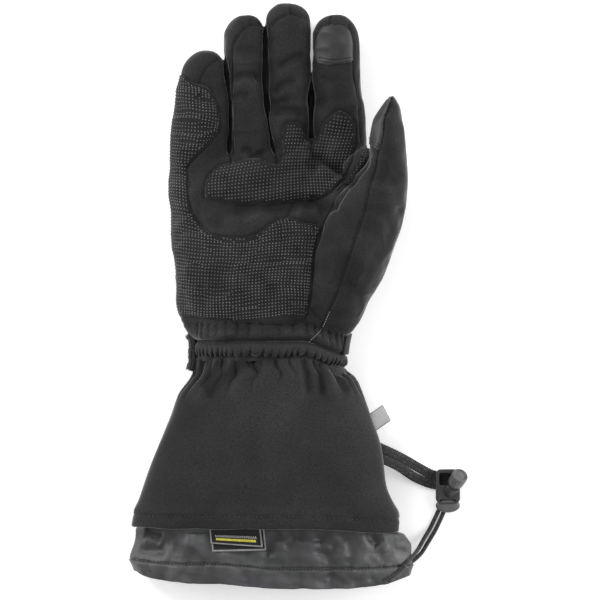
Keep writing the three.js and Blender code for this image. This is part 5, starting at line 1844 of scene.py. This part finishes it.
def make_lock():
    """The lock: a thick plate with a window and a slot, a broad lip and a leaning collar, and the
    sprung button that rides in it."""
    x, y = LOCK_PLACE
    low, high = LOCK_LIFT, LOCK_LIFT + LOCK_THICKNESS
    far = 20.0  # beyond the lock, for what is cut right through it
    body = object_of("lock_body", slab(rounded_box((x, y + 2.9), (15.6, 22.2), 3.4), low, high))
    turn = full_turn(48)
    lip = np.stack([x + 7.4 * np.cos(turn), y - 9.6 + 4.0 * np.sin(turn)], axis=1)
    cut_or_join(body, slab(lip, low + 0.6, high - 2.2), "UNION")
    cut_or_join(body, turned_shape(COLLAR_PROFILE, 48, BUTTON_FOOT, BUTTON_AXIS), "UNION")
    slot = slab(rounded_box((x, y - 6.4), (10.6, 2.0), 0.8), low + 0.8, far)
    window = slab(rounded_box((x - 1.6, y + 7.8), (8, 8), 1.2), 0, far)
    below = slab(rounded_box((x, y), (60, 60), 1), -far, low)
    bore = turned_shape(BORE_PROFILE, 40, BUTTON_FOOT, BUTTON_AXIS)
    for shape in (slot, window, below, bore):
        cut_or_join(body, shape, "DIFFERENCE")
    bevel(body, 0.35)
    body.data.materials.append(lock_plastic())
    shade_by_angle(body, 35)
    attach(body, "plastic", "cord_lock_body")
    angle = np.linspace(-np.pi / 2, np.pi / 2, 17)
    dome = turned_shape(np.stack([np.abs(np.cos(angle)), np.sin(angle)], axis=1), 64, (0, 0, 0), (0, 0, 1))
    reach = np.array([7.9, 4.5, 2.0])
    place = np.array([x, y - 9.6, (low + high) / 2 - 0.2])
    lip = object_of("lock_lip", (dome[0] * reach + place, dome[1]), lip_plastic())
    attach(lip, "plastic")
    shape = turned_shape(rounded_profile(BUTTON_PROFILE, 0.22), 84, BUTTON_FOOT, BUTTON_AXIS)
    button = object_of("lock_button", ribbed(shape), button_plastic())
    shade_by_angle(button, 40)
    attach(button, "plastic", "cord_lock_button", body="plunger")
    return body


def ribbed(shape):
    """Shallow grooves along the button's side: its radius drops by a cosine of the turn, cubed."""
    points, faces = shape
    axis = unit(np.array(BUTTON_AXIS))
    away = points - np.array(BUTTON_FOOT)
    height = away @ axis
    spoke = away - height[:, None] * axis
    radius = np.linalg.norm(spoke, axis=1)
    side = np.cross(axis, UP)
    turn = np.arctan2(spoke @ np.cross(axis, side), spoke @ side)
    depth = 0.16 * (0.5 - 0.5 * np.cos(28 * turn)) ** 3
    share = smoothstep(height, 8.0, 8.6) * (1 - smoothstep(height, 13.2, 13.8)) * (radius > 5.1)
    return points - spoke / (radius[:, None] + TINY) * (depth * share)[:, None], faces


def shade_by_angle(piece, degrees):
    """Keeps edges sharper than an angle hard in the shading."""
    piece.data.set_sharp_from_angle(angle=math.radians(degrees))


# The strands and the drawcord

def braid(path, half_width, half_height, sides, pitch, depth):
    """A braided cord: a superellipse carried along a path with its broad side kept upwards, and
    yarns that cross it in two slanting families, each the size of a sine to the power 0.7."""
    line = rounded_line(path, spacing=0.3)
    ahead = unit(np.gradient(line, axis=0))
    side = unit(np.cross(ahead, UP))
    top = np.cross(side, ahead)
    along = run_along(line)
    turn = full_turn(sides)
    power = 0.75 if half_width > 1.3 * half_height else 1.0
    wide = half_width * np.sign(np.cos(turn)) * np.abs(np.cos(turn)) ** power
    tall = half_height * np.sign(np.sin(turn)) * np.abs(np.sin(turn)) ** power
    steps = np.hypot(np.diff(wide, append=wide[0]), np.diff(tall, append=tall[0]))
    around = np.concatenate([[0], np.cumsum(steps)[:-1]])
    yarns = max(4, 2 * round(around[-1] / pitch / 2))
    phase = np.pi * yarns * around[None, :] / (around[-1] + steps[-1])
    forward = along[:, None] * np.pi / (1.15 * pitch)
    first = np.abs(np.sin(phase + forward)) ** 0.7
    second = np.abs(np.sin(phase - forward)) ** 0.7
    height = np.maximum(first, second)
    relief = depth * (height - 0.75)
    ends = np.clip(np.minimum(along, along[-1] - along)[:, None] / half_height, 0.02, 1)
    close = np.sqrt(ends * (2 - ends))
    across = side[:, None] * wide[None, :, None] + top[:, None] * tall[None, :, None]
    length = np.linalg.norm(across, axis=-1, keepdims=True)
    rings = line[:, None] + across / length * (length + relief[..., None]) * close[..., None]
    # Painted shade between the yarns and a painted highlight on their crests: the colour's factor grows with
    # the yarn's height.
    tone_and_painted_shade = np.concatenate([(0.25 + 1.2 * height[:, ::-1] ** 4).ravel(), [1.0, 1.0]])
    return line, tube(rings[:, ::-1]), tone_and_painted_shade


# Between the two strands, and from above along the two ends of the drawcord
STRAND_PATH = [
    (67.8, -70, 18.4), (75, -73.3, 16), (84.5, -78.2, 10.5), (95, -84.8, 5), (104, -89, 1.5),
    (109, -90, 1.05), (116.7, -90.2, 1.05),
]
FRONT_CORD = [
    (75.35, -152.15), (81.5, -147.9), (87, -142.4), (95.4, -134), (98.6, -128.7), (103.3, -121),
    (106.8, -113.8), (109, -109), (112.3, -102.5),
]
SIDE_CORD = [
    (84, -146), (90, -143), (97.4, -137), (101.8, -130.4), (106.6, -122.4), (110.2, -115),
    (112.4, -110), (115.6, -103.5),
]


def skirt_point(x, y, out):
    """A point on the plain skirt's upper half, moved up by out: its superellipse's height at x."""
    left, right, level, top, _ = monotone(np.array([y]), SKIRT_ROWS[:, 0], SKIRT_ROWS[:, 1:])[0]
    c = min(1, abs(x - (left + right) / 2) / ((right - left) / 2))
    return (x, y, level + (top - level) * (1 - c**SOFT_CORNER) ** (1 / SOFT_CORNER) + out)


def declare_cord(piece, nodes):
    """Puts a cord on the glove's body, in place of the nodes it stands for."""
    attach(piece, "braid", *nodes)


def make_strands():
    """Two flat strands, side by side, from the cuff's side down to the table and under the lock."""
    for name, side in (("lower", -1), ("upper", 1)):
        path = []
        for i, (x, y, z) in enumerate(STRAND_PATH):
            slant = math.radians(62 if i < 4 else 75)
            shift = side * (3.3 if i == 3 else 2.94)
            path.append((x + shift * math.cos(slant), y + shift * math.sin(slant), z))
        line, shape, tone_and_painted_shade = braid(path, STRAND_WIDTH / 2, 0.95, STRAND_SIDES, 1.8, 0.6)
        piece = object_of(f"strand_{name}", shape, cord_braid())
        paint_shade(piece.data, tone_and_painted_shade)
        declare_cord(piece, [f"pull_strand_{name}"])


def make_drawcords():
    """The drawcord's two ends, from the skirt's hem over the table to the lock."""
    lie = CORD_DIAMETER / 2 + 0.25
    over = 0.7 + 0.3 + CORD_DIAMETER / 2 + 0.4
    front_out = [over + 1.4, over + 0.8, over + 1]
    front = [skirt_point(x, y, out) for (x, y), out in zip(FRONT_CORD, front_out)]
    front += [(x, y, lie + more) for (x, y), more in zip(FRONT_CORD[3:], (8, 3.5, 0, 0, 0, 0))]
    side = [(x, y, lie + more) for (x, y), more in zip(SIDE_CORD, (9, 8, 3.5, 0.3, 0, 0, 0, 0))]
    for name, path in (("front", front), ("side", side)):
        line, shape, tone_and_painted_shade = braid(path, CORD_DIAMETER / 2, 1.25, CORD_SIDES, 0.9, 0.34)
        piece = object_of(f"cord_{name}", shape, cord_braid())
        paint_shade(piece.data, tone_and_painted_shade)
        declare_cord(piece, [f"drawcord_{name}"])


THUMB_UNDERSIDE = 34.0  # the thumb's tip lies above this height, and the index finger below it


def make_touch_patches(skin):
    """The leather on the tips of the index finger and the thumb."""
    leather = touch_leather()
    # The index finger's patch is the same leather, darkened by painted shade.
    index = cut_cloth("touch_index", skin, on_palm(INDEX_TIP_OUTLINE), 0.1, 0.6, leather, painted_darkening=0.72)
    attach(index, "touch", "touch_patch_index")
    outline = on_thumb(THUMB_TIP_OUTLINE)
    thumb = cut_cloth("touch_thumb", skin, outline, 0.0, 0.6, leather, heights=(THUMB_UNDERSIDE, 99.0))
    attach(thumb, "touch", "touch_patch_thumb")


def thread_rings(line, radius):
    """Rings of a round thread: circles square to the way of a line, their side level."""
    ahead = unit(np.gradient(line, axis=0))
    side = unit(np.cross(ahead, UP))
    turn = full_turn(6)[None, ::-1, None]
    top = np.cross(side, ahead)[:, None]
    return line[:, None] + radius * (np.cos(turn) * side[:, None] + np.sin(turn) * top)


def laid_line(line, target, spacing):
    """A smooth line laid on the cloth from above, without the points that missed the cloth."""
    path = rounded_line(line, spacing=spacing)
    laid = laid_on(np.c_[path, np.full(len(path), DROP_HEIGHT)], target)
    return laid[laid[:, 2] < DROP_HEIGHT - 1]


def thread(line, target, radius):
    """A thin round thread that follows a line laid on the cloth: rings square to its way."""
    return tube(thread_rings(laid_line(line, target, 0.9), radius))


def make_seams(skin):
    """Dark thread pressed into the hand's seams."""
    shapes = [thread(line, skin, 0.36) for line in SEAMS]
    attach(object_of("seam_threads", joined(shapes), woven("seam_thread", 14)), "shell")


def stitch_shape(length, radius):
    """One stitch: a short thread along X that dips at both ends."""
    share = np.array([-1.0, -0.75, 0.0, 0.75, 1.0])
    rise = radius * (1 - 1.6 * share**4)
    size = radius * np.array([0.4, 0.9, 1.0, 0.9, 0.4])
    turn = full_turn(5)
    rings = np.stack([
        np.broadcast_to((share * length / 2)[:, None], (5, 5)),
        size[:, None] * np.cos(turn)[None, :],
        rise[:, None] + size[:, None] * np.sin(turn)[None, :],
    ], axis=-1)
    return tube(rings)


def stitches(line, target, pitch, length, radius):
    """Stitches at even pitch along a line laid on the cloth, each turned along the line."""
    path = laid_line(line, target, pitch)
    ahead = unit(np.gradient(path, axis=0))
    side = unit(np.cross(UP, ahead))
    frames = np.stack([ahead, side, np.cross(ahead, side)], axis=-1)
    return repeated(stitch_shape(length, radius), path, frames)


def make_stitching(skin, cuff, skirt):
    """Rows of stitches at the touch patches, the cuff's hem and the skirt's hem, the dark thread
    of the wrist's seam, and the pale one beside the thumb."""
    index, thumb = bpy.data.objects["touch_index"], bpy.data.objects["touch_thumb"]
    rows = [
        stitches([(31.5, 183.2), (41, 181.6), (51.5, 183.2)], index, 1.6, 1.1, 0.32),
        stitches([(31.8, 181), (41, 179.4), (51.2, 181)], index, 1.6, 1.1, 0.32),
        stitches([(63.2, 130), (66, 126), (69.6, 123.6)], thumb, 1.5, 1.1, 0.3),
        stitches([(62.4, 132), (65.2, 128.2), (69.4, 126)], thumb, 1.5, 1.1, 0.3),
    ]
    attach(object_of("touch_stitches", joined(rows), woven("touch_thread", 12)), "touch")
    x = np.linspace(-47, 46, 40)
    seam = thread(np.stack([x, wrist_line(x) + 0.2], axis=1), skin, 0.5)
    attach(object_of("wrist_seam_thread", seam, woven("wrist_thread", 12)), "shell")
    light = stitches([(25, 0.7), (32.5, 8.5), (37.7, 19.5)], skin, 1.6, 1.3, 0.22)
    attach(object_of("wrist_bartack", light, woven("pale_thread", 150)), "shell")
    x = np.linspace(-84, 84, 60)
    hem = np.stack([x, STITCH_LINE + hem_shift(x)], axis=1)
    attach(object_of("hem_stitches", stitches(hem, cuff, 2.9, 1.3, 0.17), woven("hem_thread", 62)), "shell")
    tunnel = np.stack([x, TUNNEL_TOP + skirt_shift(x, TUNNEL_TOP)], axis=1)
    row = stitches(tunnel, skirt, 2.3, 1.7, 0.26)
    attach(object_of("skirt_stitches", row, woven("skirt_thread", 30)), "nylon")


silicone = dot_rubber()
lock_body = make_lock()
make_strands()
make_drawcords()
hand = make_hand()
make_grip(hand, silicone)
make_touch_patches(hand)
make_seams(hand)
cuff = make_cuff()
make_lining()
gaiter = make_skirt()
make_strap()
make_labels(gaiter)
make_tab()
make_eyelet(gaiter)
make_stitching(hand, cuff, gaiter)
